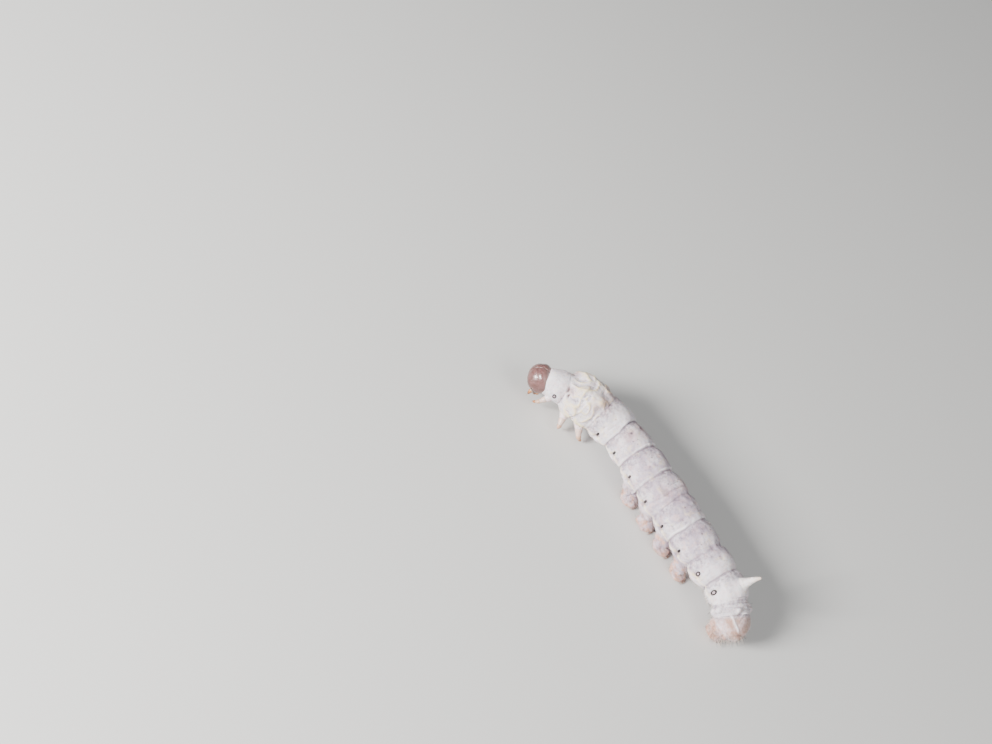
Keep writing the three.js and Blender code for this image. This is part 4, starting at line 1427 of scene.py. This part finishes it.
def bristleHairs(shown):
    s, around, stump = (skinMarks[k] for k in ("along", "around", "stump"))
    atTail = smooth(s, 49.5, 53) * (0.05 + 0.25 * smooth(around, 60, 100) + 0.5 * smooth(s, 53.6, 54.5))
    under = smooth(s, 40, 42) * smooth(around, 104, 122) * 0.8
    soft = stump * smooth(skinPoints[:, 2], 0.2, 0.5) * (0.9 - 0.72 * smooth(s, 48, 51))
    lower = smooth(around, 108, 125) * 0.12
    pick = chosen((atTail + under + soft + lower) * shown, hair["bristles"])
    s = s[pick]
    lengths = draw.uniform(*hair["bristleLength"], len(pick)) * (0.75 + 0.35 * smooth(s, 44, 52))
    share, more, tone = hair["bristleDark"]
    dark = (draw.random(len(pick)) < share + more * smooth(s, 50, 54)) * tone
    return skinHairs(pick, lengths, hair["bristleThick"], hair["bristleWay"], dark)


def rowHairs():  # a few stiff hairs at set places on every segment
    pick = []
    strayAlong, strayAround = hair["setaStray"]
    for k in range(len(edges) - 2):
        for i, angle in enumerate(hair["setaSpots"]):
            for sign, _ in bothSides:
                at = edges[k] + (edges[k + 1] - edges[k]) * hair["setaPlaces"][i % 2]
                at = at + draw.normal(0, strayAlong)
                target = skinPoint(at, sign * math.radians(angle + draw.normal(0, strayAround)))
                pick.append(int(np.argmin(((skinPoints - target) ** 2).sum(1))))
    pick = np.array(pick)
    lengths = draw.uniform(*hair["setaLength"], len(pick)) * (0.55 + 0.45 * smooth(skinMarks["along"][pick], 36, 50))
    return skinHairs(pick, lengths, hair["setaThick"], hair["setaWay"], hair["setaTone"])


def faceHairs():
    ways = unit(draw.normal(0, 1, (hair["faceHairs"], 3)))
    ways = ways[ways[:, 1] > -0.25]  # none on the back of the head
    roots = onHead(ways * (headSurface(ways) + hair["faceProud"])[:, None])
    down = unit(headAhead - headUp)
    across, start, high = hair["headPatch"]
    edge = hair["skinPatch"][0]
    places = np.stack([edge + across * (ways[:, 0] + 1) / 2, start + high * (ways[:, 2] + 1) / 2], -1)
    lengths = draw.uniform(*hair["faceLength"], len(ways))
    tones = draw.uniform(*hair["faceTone"], len(ways))
    bends = np.tile(down * 0.3, (len(ways), 1))
    return hairForms(roots, ways @ headAxes + down * 0.5, bends, lengths, hair["faceThick"], tones, places)


def makeHair():
    shown = smooth(skinMarks["along"], 0.3, 0.9) * (skinPoints[:, 2] > 0.25)
    batches = [downHairs(shown), bristleHairs(shown), rowHairs(), faceHairs()]
    faces, count = [], 0
    for points, parts, _, _ in batches:
        faces += [face for part in parts for face in (part + count).tolist()]
        count += len(points)
    points, tones, uv = (np.concatenate([batch[k] for batch in batches]) for k in (0, 2, 3))
    return dressed(meshPiece("hairs", points, faces, hairFinish, {"tone": tones}, uv), "skin")


hairFinish = finish("hairFinish", hairNodes, {"Specular IOR Level": 0.4})
makeHair()
print("hairs made")


# Floor and lights. A light's way is across, up and towards the camera, in the picture's own directions.

stage = {
    "floorSize": 3000, "floor": paint(212, 212, 210), "floorWash": paint(214, 214, 214),
    "world": 0.3, "worldColour": paint(244, 246, 250), "lightColour": (1.0, 0.985, 0.96), "lowest": 0.35,
    "lights": {
        "key": {"distance": 420, "way": (-0.85, 0.25, 1), "size": 120, "power": 5.6},
        "fill": {"distance": 600, "way": (0.9, -0.1, 1), "size": 320, "power": 1.5},
    },
}


def floorNodes(w):
    wash = w.place().noise(0.02, 2)
    return {"Base Color": (wash * 0.15).tint(stage["floor"], stage["floorWash"]), "Roughness": 0.6 + wash * 0.1}


def makeLight(name, light):
    view = bpy.context.scene.camera.matrix_world.to_3x3()
    aim = Vector(camera["aim"]) * mm
    way = (view @ Vector(light["way"])).normalized()
    way.z = max(way.z, stage["lowest"])
    data = bpy.data.lights.new(name, "AREA")
    data.size, data.energy, data.color = light["size"] * mm, light["power"], stage["lightColour"]
    made = bpy.data.objects.new(name, data)
    made.location = aim + way.normalized() * light["distance"] * mm
    made.rotation_euler = (aim - made.location).to_track_quat("-Z", "Y").to_euler()
    bpy.context.collection.objects.link(made)


def makeStage():
    half = stage["floorSize"] / 2
    corners = [(-half, -half, 0), (half, -half, 0), (half, half, 0), (-half, half, 0)]
    meshPiece("floor", corners, np.array([[0, 1, 2, 3]]), finish("floorFinish", floorNodes))
    world = bpy.data.worlds.new("studio")
    world.use_nodes = True
    sky = world.node_tree.nodes["Background"].inputs
    sky["Color"].default_value = (*stage["worldColour"], 1)
    sky["Strength"].default_value = stage["world"]
    bpy.context.scene.world = world
    for name, light in stage["lights"].items():
        makeLight(name, light)


makeStage()
print("stage made")
